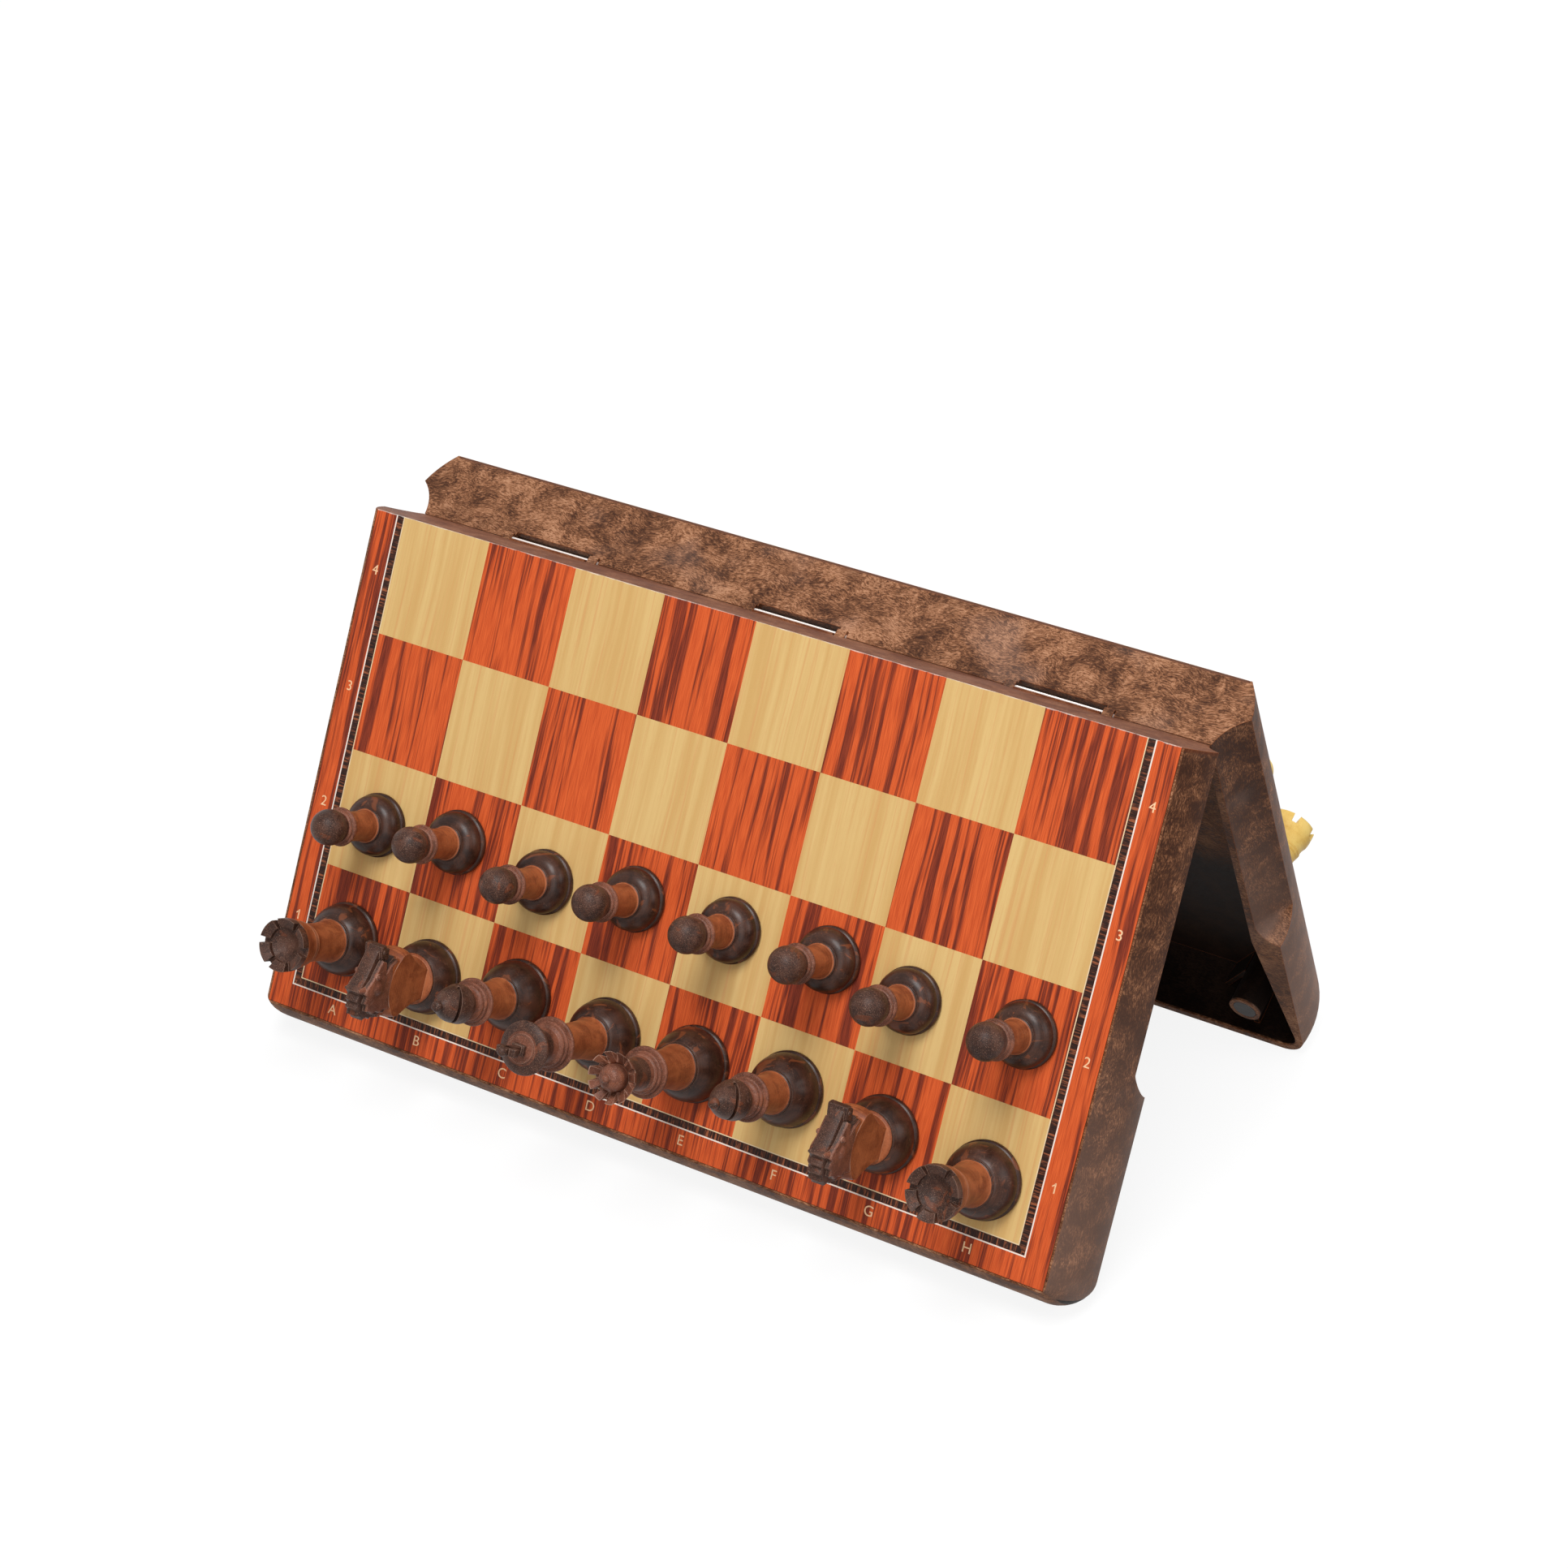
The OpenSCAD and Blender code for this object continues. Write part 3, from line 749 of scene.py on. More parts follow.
@dataclass
class Outline:
    """Half section of a turned shape: radius and height pairs, in millimetres."""

    points: list[tuple[float, float]] = field(default_factory=lambda: [(0.0, 0.0)])

    def line(self, r: float, z: float) -> "Outline":
        """Runs straight to a point."""
        self.points.append((r, z))
        return self

    def bow(self, r: float, z: float, sag: float, steps: int = 8) -> "Outline":
        """Runs to a point along an arc.

        Args:
            r: Radius at the end.
            z: Height at the end.
            sag: How far the arc stands out of its chord; negative goes in.
            steps: Pieces of the arc.

        Returns:
            The outline.
        """
        r0, z0 = self.points[-1]
        chord = math.hypot(r - r0, z - z0)
        radius = (chord**2 / 4 + sag**2) / (2 * abs(sag))
        half_angle = math.asin(min(1.0, chord / (2 * radius)))
        if abs(sag) > chord / 2:
            half_angle = math.pi - half_angle
        along = ((r - r0) / chord, (z - z0) / chord)
        side = (along[1] * math.copysign(1, sag), -along[0] * math.copysign(1, sag))
        rise = radius * math.cos(half_angle)
        for i in range(1, steps + 1):
            angle = half_angle * (2 * i / steps - 1)
            run = radius * math.sin(angle)
            out = radius * math.cos(angle) - rise
            self.points.append(
                (
                    max(0.0, (r0 + r) / 2 + along[0] * run + side[0] * out),
                    (z0 + z) / 2 + along[1] * run + side[1] * out,
                )
            )
        return self

    def dome(self, r: float, z: float, steps: int = 12) -> "Outline":
        """Rises upright and curves in to a point."""
        r0, z0 = self.points[-1]
        radius = ((r0 - r) ** 2 + (z - z0) ** 2) / (2 * (r0 - r))
        chord = math.hypot(r - r0, z - z0)
        sag = radius - math.sqrt(max(0.0, radius**2 - chord**2 / 4))
        return self.bow(r, z, sag, steps)

    def bead(self, r: float, z: float) -> "Outline":
        """Rises to a height along a half-round bead of outer radius r."""
        r0, z0 = self.points[-1]
        half = (z - z0) / 2
        inner = r - half
        if abs(inner - r0) > 0.01:
            self.line(inner, z0)
        return self.bow(inner, z, half * 0.999, 6)

    def spin(
        self, bm: bmesh.types.BMesh, steps: int = 64, lift: float = 0.0
    ) -> list[bmesh.types.BMFace]:
        """Turns the outline about the z axis into a bmesh.

        Args:
            bm: Where the faces go.
            steps: Pieces of the full turn.
            lift: Height added to the outline.

        Returns:
            The new faces.
        """
        before = set(bm.faces)
        chain = [bm.verts.new((r * MM, 0.0, (z + lift) * MM)) for r, z in self.points]
        edges = [bm.edges.new(pair) for pair in zip(chain, chain[1:])]
        bmesh.ops.spin(
            bm,
            geom=chain + edges,
            cent=(0, 0, 0),
            axis=(0, 0, 1),
            angle=2 * math.pi,
            steps=steps,
            use_merge=True,
        )
        bmesh.ops.remove_doubles(bm, verts=bm.verts[:], dist=0.004 * MM)
        return [f for f in bm.faces if f not in before]


def foot_outline(base: float, top: float, neck: float) -> Outline:
    """Draws a man's foot: rim, groove, dome and the thin ring under the stem.

    Args:
        base: Radius of the rim.
        top: Height of the foot.
        neck: Radius of the stem above it.

    Returns:
        The outline, ending on the ring.
    """
    shape = Outline().line(base - 0.8, 0.0).bow(base, 1.1, 0.3, 4).bow(base - 0.75, 2.2, 0.3, 4)
    shape.line(base - 1.0, 2.35).line(base - 0.95, 2.75).line(base - 0.45, 3.0)
    return shape.dome(neck + 0.9, top - 0.3, 14).bead(neck + 0.75, top + 0.55)


def collar_outline(shape: Outline, z: float, r: float) -> Outline:
    """Adds the three stacked rings below a head."""
    shape.line(r - 1.6, z - 0.6).bow(r - 0.5, z - 0.1, -0.15, 3)
    shape.bead(r, z + 1.2).bead(r - 1.3, z + 2.5)
    return shape.bead(r - 1.9, z + 3.9)


@dataclass
class Man:
    """A chess man, built about z in its half's frame and moved onto its foot."""

    node: str
    half: Half
    base: float = 12.2
    bands: tuple[tuple[float, Band], ...] = ()

    def shape(self, bm: bmesh.types.BMesh) -> None:
        """Builds the man about the z axis, standing on z = 0."""
        raise NotImplementedError

    def zone(self, spot: Vector) -> Band:
        """Names the band that a spot in millimetres lies in, by its height."""
        return next(band for top, band in self.bands if spot.z < top)

    def build(self, finishes: Sequence[bpy.types.Material]) -> bpy.types.Object:
        """Args:
            finishes: One material per band.

        Returns:
            The piece.
        """
        bm = bmesh.new()
        self.shape(bm)
        for face in bm.faces:
            face.material_index = self.zone(face.calc_center_median() / MM).value
            face.smooth = True
        foot = self.half.foot(self.node)
        place = self.half.matrix @ Matrix.Translation(foot)
        bmesh.ops.transform(bm, matrix=place, verts=bm.verts[:])
        bmesh.ops.recalc_face_normals(bm, faces=bm.faces[:])
        piece = to_piece(bm, f"{self.node}_man", finishes)
        piece.data.set_sharp_from_angle(angle=math.radians(38))
        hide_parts(self.node)
        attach(piece, self.node)
        return piece


def round_edges(bm: bmesh.types.BMesh, edges: Sequence[bmesh.types.BMEdge], size: float) -> None:
    """Rounds edges off in two steps.

    Args:
        bm: The bmesh that holds them.
        edges: The edges.
        size: Size of the rounding, in millimetres.
    """
    bmesh.ops.bevel(
        bm, geom=edges, offset=size * MM, segments=2, profile=0.5, affect="EDGES", material=-1
    )


def pour(part: bmesh.types.BMesh, bm: bmesh.types.BMesh) -> None:
    """Adds one bmesh to another and frees it.

    Args:
        part: What is added.
        bm: Where it goes.
    """
    mesh = bpy.data.meshes.new("part")
    part.to_mesh(mesh)
    part.free()
    bm.from_mesh(mesh)
    bpy.data.meshes.remove(mesh)


def to_piece(
    bm: bmesh.types.BMesh, name: str, finishes: Sequence[bpy.types.Material]
) -> bpy.types.Object:
    """Turns a bmesh into an object with its materials.

    Args:
        bm: The shape, freed afterwards.
        name: The object's name.
        finishes: The materials, in slot order.

    Returns:
        The linked object.
    """
    mesh = bpy.data.meshes.new(name)
    bm.to_mesh(mesh)
    bm.free()
    for finish in finishes:
        mesh.materials.append(finish)
    piece = bpy.data.objects.new(name, mesh)
    bpy.context.scene.collection.objects.link(piece)
    return piece


def ring_groups(
    faces: Sequence[bmesh.types.BMFace], z: float, count: int, share: float
) -> list[list[bmesh.types.BMFace]]:
    """Picks the flat ring faces at a height, in evenly spaced groups.

    Args:
        faces: Faces to pick from.
        z: Height of the ring, in millimetres.
        count: How many groups.
        share: How much of each division a group covers.

    Returns:
        The faces of each group.
    """
    groups: list[list[bmesh.types.BMFace]] = [[] for _ in range(count)]
    pitch = 2 * math.pi / count
    for face in faces:
        middle = face.calc_center_median()
        if abs(middle.z - z * MM) > 0.01 * MM or abs(face.normal.z) < 0.9:
            continue
        turn = (math.atan2(middle.y, middle.x) % (2 * math.pi)) / pitch
        if abs(turn % 1.0 - 0.5) < share / 2:
            groups[int(turn) % count].append(face)
    return groups


class Pawn(Man):
    """A ball on two small rings."""

    height: float = 34.2
    ball: float = 5.85

    def shape(self, bm: bmesh.types.BMesh) -> None:
        """Turns the pawn."""
        middle = self.height - self.ball
        neck = middle - 7.0
        shape = foot_outline(self.base, 8.0, 5.2).line(5.2, 8.7).bow(5.1, neck - 0.4, -0.35)
        shape.bow(5.7, neck, -0.1, 3).bead(6.3, neck + 1.5).bead(5.6, neck + 2.6)
        shape.line(4.9, neck + 2.9)
        start = math.sqrt(self.ball**2 - 4.9**2)
        shape.line(4.9, middle - start).bow(0.0, self.height, self.arc_sag(4.9, start), 18)
        shape.spin(bm)

    def arc_sag(self, r: float, below: float) -> float:
        """Gives the sag of the ball's arc from its neck to its top."""
        half = math.hypot(r, self.ball + below) / 2
        return self.ball - math.sqrt(max(0.0, self.ball**2 - half**2))


class Rook(Man):
    """A flared tower with six battlements that slope into a bowl."""

    height: float = 37.0
    crown: float = 8.6
    notch: float = 3.0
    merlon: float = 2.9
    bowl: float = 2.6

    def shape(self, bm: bmesh.types.BMesh) -> None:
        """Turns the rook and raises its battlements."""
        floor = self.height - self.notch
        shape = foot_outline(self.base, 10.6, 6.8).line(6.9, 11.4)
        shape.bow(6.4, self.height - 12.4, -0.4)
        for i in range(3):
            rise, out = self.height - 11.4 + 1.1 * i, 6.7 + 0.36 * i
            shape.bow(out, rise, 0.1, 3).line(out - 0.15, rise + 0.12)
        shape.bow(self.crown - 0.3, self.height - 5, -0.3).line(self.crown, floor)
        shape.line(self.crown - self.merlon, floor).line(self.bowl, floor - 1.9)
        shape.bow(0.0, floor - 2.4, -0.2, 4)
        faces = shape.spin(bm, 72)
        for group in ring_groups(faces, floor, 6, 0.75):
            for vert in raise_faces(bm, group, Vector(), 1.0):
                inner = math.hypot(vert.co.x, vert.co.y) < (self.crown - 1.0) * MM
                vert.co.z += (self.notch - (1.5 if inner else 0.0)) * MM

    def zone(self, spot: Vector) -> Band:
        """Gives the bowl the finish of the battlements."""
        inside = math.hypot(spot.x, spot.y) < self.crown - self.merlon and spot.z > self.height - 6
        return Band.HEAD if inside else super().zone(spot)


def raise_faces(
    bm: bmesh.types.BMesh, group: Sequence[bmesh.types.BMFace], move: Vector, shrink: float
) -> list[bmesh.types.BMVert]:
    """Extrudes faces, moves them and draws them in.

    Args:
        bm: The mesh.
        group: Faces to raise.
        move: The way they go.
        shrink: Share of their size that is left.

    Returns:
        The raised vertices.
    """
    made = bmesh.ops.extrude_face_region(bm, geom=list(group))["geom"]
    verts = [v for v in made if isinstance(v, bmesh.types.BMVert)]
    bmesh.ops.delete(bm, geom=list(group), context="FACES")
    middle = sum((v.co for v in verts), Vector()) / len(verts)
    bmesh.ops.translate(bm, vec=move, verts=verts)
    bmesh.ops.scale(
        bm, vec=(shrink, shrink, 1.0), space=Matrix.Translation(-(middle + move)), verts=verts
    )
    return verts


class Bishop(Man):
    """A slit mitre with a small ball on top."""

    height: float = 46.4
    mitre: float = 5.9

    def shape(self, bm: bmesh.types.BMesh) -> None:
        """Turns the bishop and cuts the slit in his mitre."""
        collar = self.height - 19.4
        wide = self.height - 8.6
        shape = foot_outline(self.base - 0.2, 12.2, 6.4).line(6.5, 13.0)
        shape.bow(5.7, collar - 0.8, -0.4)
        collar_outline(shape, collar, 7.6)
        shape.line(4.7, collar + 4.2).bow(4.5, wide - 4.2, -0.2, 4)
        shape.bow(self.mitre, wide, 1.0, 8).bow(1.2, self.height, 1.15, 12)
        shape.line(0.9, self.height + 0.1).bow(0.0, self.height + 2.5, 1.35, 10)
        shape.spin(bm)
        self.cut(bm, wide + 2.2)

    def cut(self, bm: bmesh.types.BMesh, z: float) -> None:
        """Sinks a crescent slit into one side of the mitre.

        Args:
            bm: The mesh.
            z: Height of the slit's middle.
        """
        tilt = math.radians(38)
        normal = Vector((-math.sin(tilt), 0, math.cos(tilt)))
        for offset in (-0.6, 0.6):
            bmesh.ops.bisect_plane(
                bm,
                geom=bm.verts[:] + bm.edges[:] + bm.faces[:],
                plane_co=Vector((2.0 * MM, 0, z * MM)) + normal * offset * MM,
                plane_no=normal,
            )
        slit = []
        for face in bm.faces:
            middle = face.calc_center_median()
            off = (middle - Vector((2.0 * MM, 0, z * MM))).dot(normal)
            if abs(off) < 0.55 * MM and middle.x > 0.8 * MM and middle.z > (z - 6) * MM:
                slit.append(face)
        made = bmesh.ops.extrude_face_region(bm, geom=slit)["geom"]
        verts = [v for v in made if isinstance(v, bmesh.types.BMVert)]
        bmesh.ops.delete(bm, geom=slit, context="FACES")
        bmesh.ops.translate(bm, vec=Vector((-1.9, 0, -1.3)) * MM, verts=verts)


class Queen(Man):
    """A coronet of eleven petals round a dome."""

    height: float = 51.5
    petals: int = 11

    def shape(self, bm: bmesh.types.BMesh) -> None:
        """Turns the queen, raises her petals and sets the dome."""
        collar = self.height - 20.4
        cup = self.height - 10.0
        floor = self.height - 3.0
        shape = foot_outline(self.base, 12.6, 6.9).line(7.0, 13.4).bow(6.1, collar - 0.8, -0.5)
        collar_outline(shape, collar, 8.1)
        shape.line(5.4, collar + 4.2).bow(5.0, cup, -0.3, 5).bow(7.0, floor, -0.6, 8)
        shape.line(4.5, floor).line(4.0, floor - 0.8).line(0.0, floor - 0.8)
        faces = shape.spin(bm, 10 * self.petals)
        for group in ring_groups(faces, floor, self.petals, 0.82):
            middle = sum((f.calc_center_median() for f in group), Vector()) / len(group)
            lean = Vector((middle.x, middle.y, 0)).normalized() * 1.3 * MM
            for vert in raise_faces(bm, group, lean, 0.86):
                outer = math.hypot(vert.co.x, vert.co.y) > 7.0 * MM
                vert.co.z += (3.0 if outer else 0.9) * MM
        dome = Outline().line(3.9, 0.0).bow(4.1, 2.0, 0.1, 3).bow(1.0, 6.2, 1.3, 10)
        dome.bow(0.0, 8.2, 0.8, 6)
        dome.spin(bm, 40, floor - 0.8)


class King(Man):
    """A shallow crown with a raised ring and a cross."""

    height: float = 50.0
    crown: float = 8.4
    cross: float = 11.0
    ring: float = 4.7

    def shape(self, bm: bmesh.types.BMesh) -> None:
        """Turns the king and sets his cross."""
        collar = self.height - 16.0
        shape = foot_outline(self.base, 11.4, 6.5).line(6.6, 12.2).bow(5.9, collar - 0.8, -0.5)
        collar_outline(shape, collar, 8.6)
        shape.line(5.5, collar + 4.2).bow(5.2, self.height - 8.4, -0.2, 4)
        shape.bow(self.crown - 0.2, self.height - 1.2, -0.9)
        shape.bow(self.crown - 0.4, self.height, 0.35, 5)
        shape.bow(self.ring - 0.3, self.height + 1.2, 0.3, 8).bead(self.ring, self.height + 1.8)
        shape.line(self.ring - 0.6, self.height + 1.5).bow(0.0, self.height + 2.2, 0.1, 4)
        shape.spin(bm)
        self.add_cross(bm, self.height + 2.3)

    def add_cross(self, bm: bmesh.types.BMesh, z: float) -> None:
        """Builds the cross from bevelled bars and a ball.

        Args:
            bm: The mesh.
            z: Height of its foot.
        """
        bars = (
            (4.6, 3.4, 1.4, 0.5),
            (2.7, 2.5, self.cross - 1.4, (self.cross - 1.6) / 2),
            (6.8, 2.5, 2.6, self.cross * 0.5 + 1.1),
        )
        for wide, thick, tall, middle in bars:
            made = bmesh.ops.create_cube(bm, size=MM)["verts"]
            bmesh.ops.scale(bm, vec=(wide, thick, tall), verts=made)
            bmesh.ops.translate(bm, vec=(0, 0, (z + middle) * MM), verts=made)
            round_edges(bm, list({e for v in made for e in v.link_edges}), 0.3)
        made = bmesh.ops.create_uvsphere(bm, u_segments=24, v_segments=16, radius=1.5 * MM)["verts"]
        bmesh.ops.translate(bm, vec=(0, 0, (z + self.cross - 1.4) * MM), verts=made)


class Knight(Man):
    """A flat-sided horse's head on a cut chest, the muzzle towards the hinge."""

    crest_t: float = 4.8
    cheek_t: float = 8.2
    crest: tuple[tuple[float, float], ...] = (
        (-6.5, 18), (-8.6, 24), (-9.2, 27.4), (-7.4, 29.6), (-5.4, 31.2), (-9.6, 32.0),
        (-12.2, 33.4), (-12.4, 36.2), (-10.0, 37.4), (-6.0, 38.8), (-2.6, 40.2), (-0.4, 41.6),
        (1.6, 44.0), (3.2, 42.2), (5.0, 42.8), (6.0, 41.4), (7.6, 42.0), (8.4, 40.4), (10.0, 40.4),
        (10.2, 38.6), (11.4, 37.4), (10.6, 35.6), (11.2, 33.8), (10.0, 32.4), (10.2, 30.4),
        (9.2, 29.2), (9.6, 26.6), (8.6, 25.4), (7.6, 24.4), (7.6, 21.6), (8.6, 20.0),
    )
    cheek: tuple[tuple[float, float], ...] = (
        (-6.2, 18), (-8.2, 24), (-8.6, 27.4), (-6.8, 30.0), (-4.4, 31.8), (-8.0, 32.8), (-8.6, 35.2),
        (-5.4, 36.8), (-2.2, 38.2), (0.4, 40.4), (2.4, 40.8), (3.4, 39.6), (5.4, 40.2), (6.2, 38.8),
        (8.0, 38.6), (8.2, 36.8), (9.2, 35.2), (8.4, 33.4), (8.8, 31.2), (7.8, 29.6), (8.0, 26.6),
        (7.0, 25.0), (6.8, 21.6), (7.8, 19.6),
    )
    lips: tuple[tuple[float, ...], ...] = (
        (6.8, 4.4, 2.6, -11.0, 35.0, -14.0),
        (6.0, 4.0, 2.0, -10.2, 32.4, -8.0),
        (2.2, 3.4, 4.4, 9.6, 24.0, 12.0),
    )

    def shape(self, bm: bmesh.types.BMesh) -> None:
        """Turns the foot, cuts the chest and carves the head."""
        foot = foot_outline(self.base, 10.6, 7.6).line(7.6, 11.4).line(0.0, 11.6)
        foot.spin(bm)
        self.add_chest(bm)
        self.add_head(bm)

    def zone(self, spot: Vector) -> Band:
        """Keeps the cheeks lighter than the crest and the muzzle."""
        band = super().zone(spot)
        cheek = abs(spot.x) > self.crest_t / 2 + 0.1 and spot.y > -8.0
        return Band.COLLAR if band is Band.HEAD and cheek else band

    def add_chest(self, bm: bmesh.types.BMesh) -> None:
        """Turns the chest and cuts its two flat sides."""
        part = bmesh.new()
        chest = Outline([(0.0, 10.8)]).line(7.4, 10.8).bow(11.2, 21.5, -0.9)
        chest.bow(9.4, 25.6, 0.9, 6).bow(0.0, 29.0, 1.0, 6)
        chest.spin(part, 48)
        for s in (-1, 1):
            geom = part.verts[:] + part.edges[:] + part.faces[:]
            made = bmesh.ops.bisect_plane(
                part,
                geom=geom,
                plane_co=(s * 5.4 * MM, 0, 14 * MM),
                plane_no=(s, 0, 0.09),
                clear_outer=True,
            )["geom_cut"]
            cut = [g for g in made if isinstance(g, bmesh.types.BMEdge)]
            bmesh.ops.edgeloop_fill(part, edges=cut)
        pour(part, bm)

    def add_head(self, bm: bmesh.types.BMesh) -> None:
        """Builds the head from a crest, cheeks and lips, and adds mane, ears and eyes."""
        part = bmesh.new()
        self.add_slab(part, self.crest, self.crest_t, 0.5)
        self.add_slab(part, self.cheek, self.cheek_t, 0.7)
        for wide, long, tall, u, w, tilt in self.lips:
            made = bmesh.ops.create_cube(part, size=MM)["verts"]
            turn = Matrix.Rotation(math.radians(tilt), 4, "X")
            place = Matrix.Translation(Vector((0, u, w)) * MM) @ turn
            bmesh.ops.scale(part, vec=(wide, long, tall), verts=made)
            bmesh.ops.transform(part, matrix=place, verts=made)
            round_edges(part, list({e for v in made for e in v.link_edges}), 0.4)
        for s in (-1, 1):
            self.add_relief(part, s)
        for i in range(7):
            self.add_lock(part, i / 6)
        pour(part, bm)

    @staticmethod
    def add_slab(
        part: bmesh.types.BMesh,
        outline: Sequence[tuple[float, float]],
        thick: float,
        round_off: float,
    ) -> None:
        """Adds a flat slab of the head with rounded edges.

        Args:
            part: The head.
            outline: Places along and away from the board, in millimetres.
            thick: Thickness across the head.
            round_off: Size of the rounding.
        """
        slab = bmesh.new()
        ring = [slab.verts.new((-thick / 2 * MM, u * MM, w * MM)) for u, w in outline]
        made = bmesh.ops.extrude_face_region(slab, geom=[slab.faces.new(ring)])["geom"]
        far = [v for v in made if isinstance(v, bmesh.types.BMVert)]
        bmesh.ops.translate(slab, vec=(thick * MM, 0, 0), verts=far)
        rim = [e for e in slab.edges if abs(e.verts[0].co.x - e.verts[1].co.x) < 1e-7]
        round_edges(slab, rim, round_off)
        bmesh.ops.triangulate(slab, faces=[f for f in slab.faces if len(f.verts) > 4])
        pour(slab, part)

    def add_relief(self, part: bmesh.types.BMesh, s: int) -> None:
        """Adds an eye, a nostril, a cheek and an ear to one side of the head."""
        side = s * self.cheek_t / 2
        for x, u, w, radius in (
            (side, -3.4, 36.4, 0.9), (s * 3.3, -11.2, 35.0, 0.6), (side - s * 2.8, 0.6, 34.6, 3.6)
        ):
            made = bmesh.ops.create_uvsphere(
                part, u_segments=16, v_segments=10, radius=radius * MM
            )["verts"]
            bmesh.ops.translate(part, vec=Vector((x, u, w)) * MM, verts=made)
        ear = bmesh.ops.create_cone(
            part, cap_ends=True, segments=8, radius1=1.6 * MM, radius2=0.5 * MM, depth=4.0 * MM
        )["verts"]
        bmesh.ops.translate(part, vec=Vector((s * 2.3, 1.4, 41.4)) * MM, verts=ear)

    def add_lock(self, part: bmesh.types.BMesh, share: float) -> None:
        """Adds one ridge of the mane.

        Args:
            part: The head.
            share: Place along the mane, from the ears at 0 to the nape at 1.
        """
        made = bmesh.ops.create_cone(
            part, cap_ends=True, segments=4, radius1=2.4 * MM, radius2=1.2 * MM, depth=3.4 * MM
        )["verts"]
        angle = math.radians(35 + 75 * share)
        around = angle * 0.86
        place = Vector((0.0, 3.4 + 6.2 * math.sin(around), 28.0 + 13.2 * math.cos(around)))
        turn = Matrix.Rotation(-angle, 4, "X") @ Matrix.Rotation(math.pi / 4, 4, "Z")
        bmesh.ops.scale(part, vec=(1.35, 1.0, 1.0), verts=made)
        bmesh.ops.transform(part, matrix=Matrix.Translation(place * MM) @ turn, verts=made)


# ---------------------------------------------------------------------------
# Sub-assemblies
# ---------------------------------------------------------------------------


@dataclass
class CaseHalf:
    """One half of the case: shell, sheets, closure magnets and coordinates."""

    half: Half
    letter_h: float = 3.4
    letter_off: float = 6.8
    letter_pitch: float = 34.0
    letter_shift: float = -0.7
    square_w: float = 33.5
    square_h: float = 39.0

    def dress(
        self, steel: bpy.types.Material, magnet: bpy.types.Material, ink_: bpy.types.Material
    ) -> None:
        """Gives the CAD nodes their finishes and lays the coordinates.

        Args:
            steel: Finish of the hidden sheet.
            magnet: Finish of the closure magnets.
            ink_: Finish of the coordinates.
        """
        name = self.half.name
        dress_node(f"{name}_shell", BurlPlastic().build(self.half))
        dress_node(f"{name}_board_sheet", BoardPrint().build(self.half))
        dress_node(f"{name}_steel_sheet", steel)
        dress_node(f"{name}_closure_magnets", magnet)
        self.lay_coordinates(ink_)

    def lay_coordinates(self, ink_: bpy.types.Material) -> None:
        """Prints the file letters and rank digits on the border."""
        top = self.half.flat_box(f"{self.half.name}_board_sheet")[1].z
        front = self.half.side is Side.FRONT
        edge_x = 4 * self.square_w * MM + self.letter_off * MM
        edge_u = 4 * self.square_h * MM + self.letter_off * MM
        places = []
        for i in range(4):
            rank = str(4 - i if front else 5 + i)
            u = (i + 0.5) * self.square_h * MM
            places += [(rank, -edge_x, u), (rank, edge_x, u)]
        for i, mark in enumerate("ABCDEFGH"):
            places.append((mark, ((i - 3.5) * self.letter_pitch + self.letter_shift) * MM, edge_u))
        bm = bmesh.new()
        for mark, x, u in places:
            self.add_mark(bm, mark, Vector((x, u, top)))
        piece = to_piece(bm, f"{self.half.name}_coordinates", [ink_])
        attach(piece, self.half.body)

    def add_mark(self, bm: bmesh.types.BMesh, mark: str, place: Vector) -> None:
        """Adds one letter or digit to a mesh.

        Args:
            bm: The mesh.
            mark: The character.
            place: Its middle in the flat frame.
        """
        curve = bpy.data.curves.new("mark", "FONT")
        curve.body = mark
        curve.align_x = "CENTER"
        curve.align_y = "CENTER"
        curve.size = self.letter_h * MM / 0.72
        curve.extrude = 0.02 * MM
        holder = bpy.data.objects.new("mark", curve)
        bpy.context.scene.collection.objects.link(holder)
        bpy.context.view_layer.update()
        mesh = bpy.data.meshes.new_from_object(holder)
        if mark == "1":
            self.add_flag(mesh)
        right = Vector((1 if self.half.side is Side.FRONT else -1, 0, 0))
        columns = Matrix((right, -self.half.out, self.half.up)).transposed().to_4x4()
        mesh.transform(Matrix.Translation(self.half.matrix @ place) @ columns)
        bm.from_mesh(mesh)
        bpy.data.objects.remove(holder)
        bpy.data.meshes.remove(mesh)

    def add_flag(self, mesh: bpy.types.Mesh) -> None:
        """Adds the short upstroke of the digit one."""
        part = bmesh.new()
        part.from_mesh(mesh)
        made = bmesh.ops.create_cube(part, size=MM)["verts"]
        place = Matrix.Translation(Vector((-0.5, 0.3 * self.letter_h, 0)) * MM)
        bmesh.ops.scale(part, vec=(1.3, 0.36, 0.04), verts=made)
        bmesh.ops.transform(part, matrix=place @ Matrix.Rotation(0.75, 4, "Z"), verts=made)
        part.to_mesh(mesh)
        part.free()


def dress_node(node: str, finish: bpy.types.Material) -> None:
    """Puts one material on a CAD node.

    Args:
        node: The node.
        finish: Its material.
    """
    mesh = bpy.data.objects[node].data
    mesh.materials.clear()
    mesh.materials.append(finish)


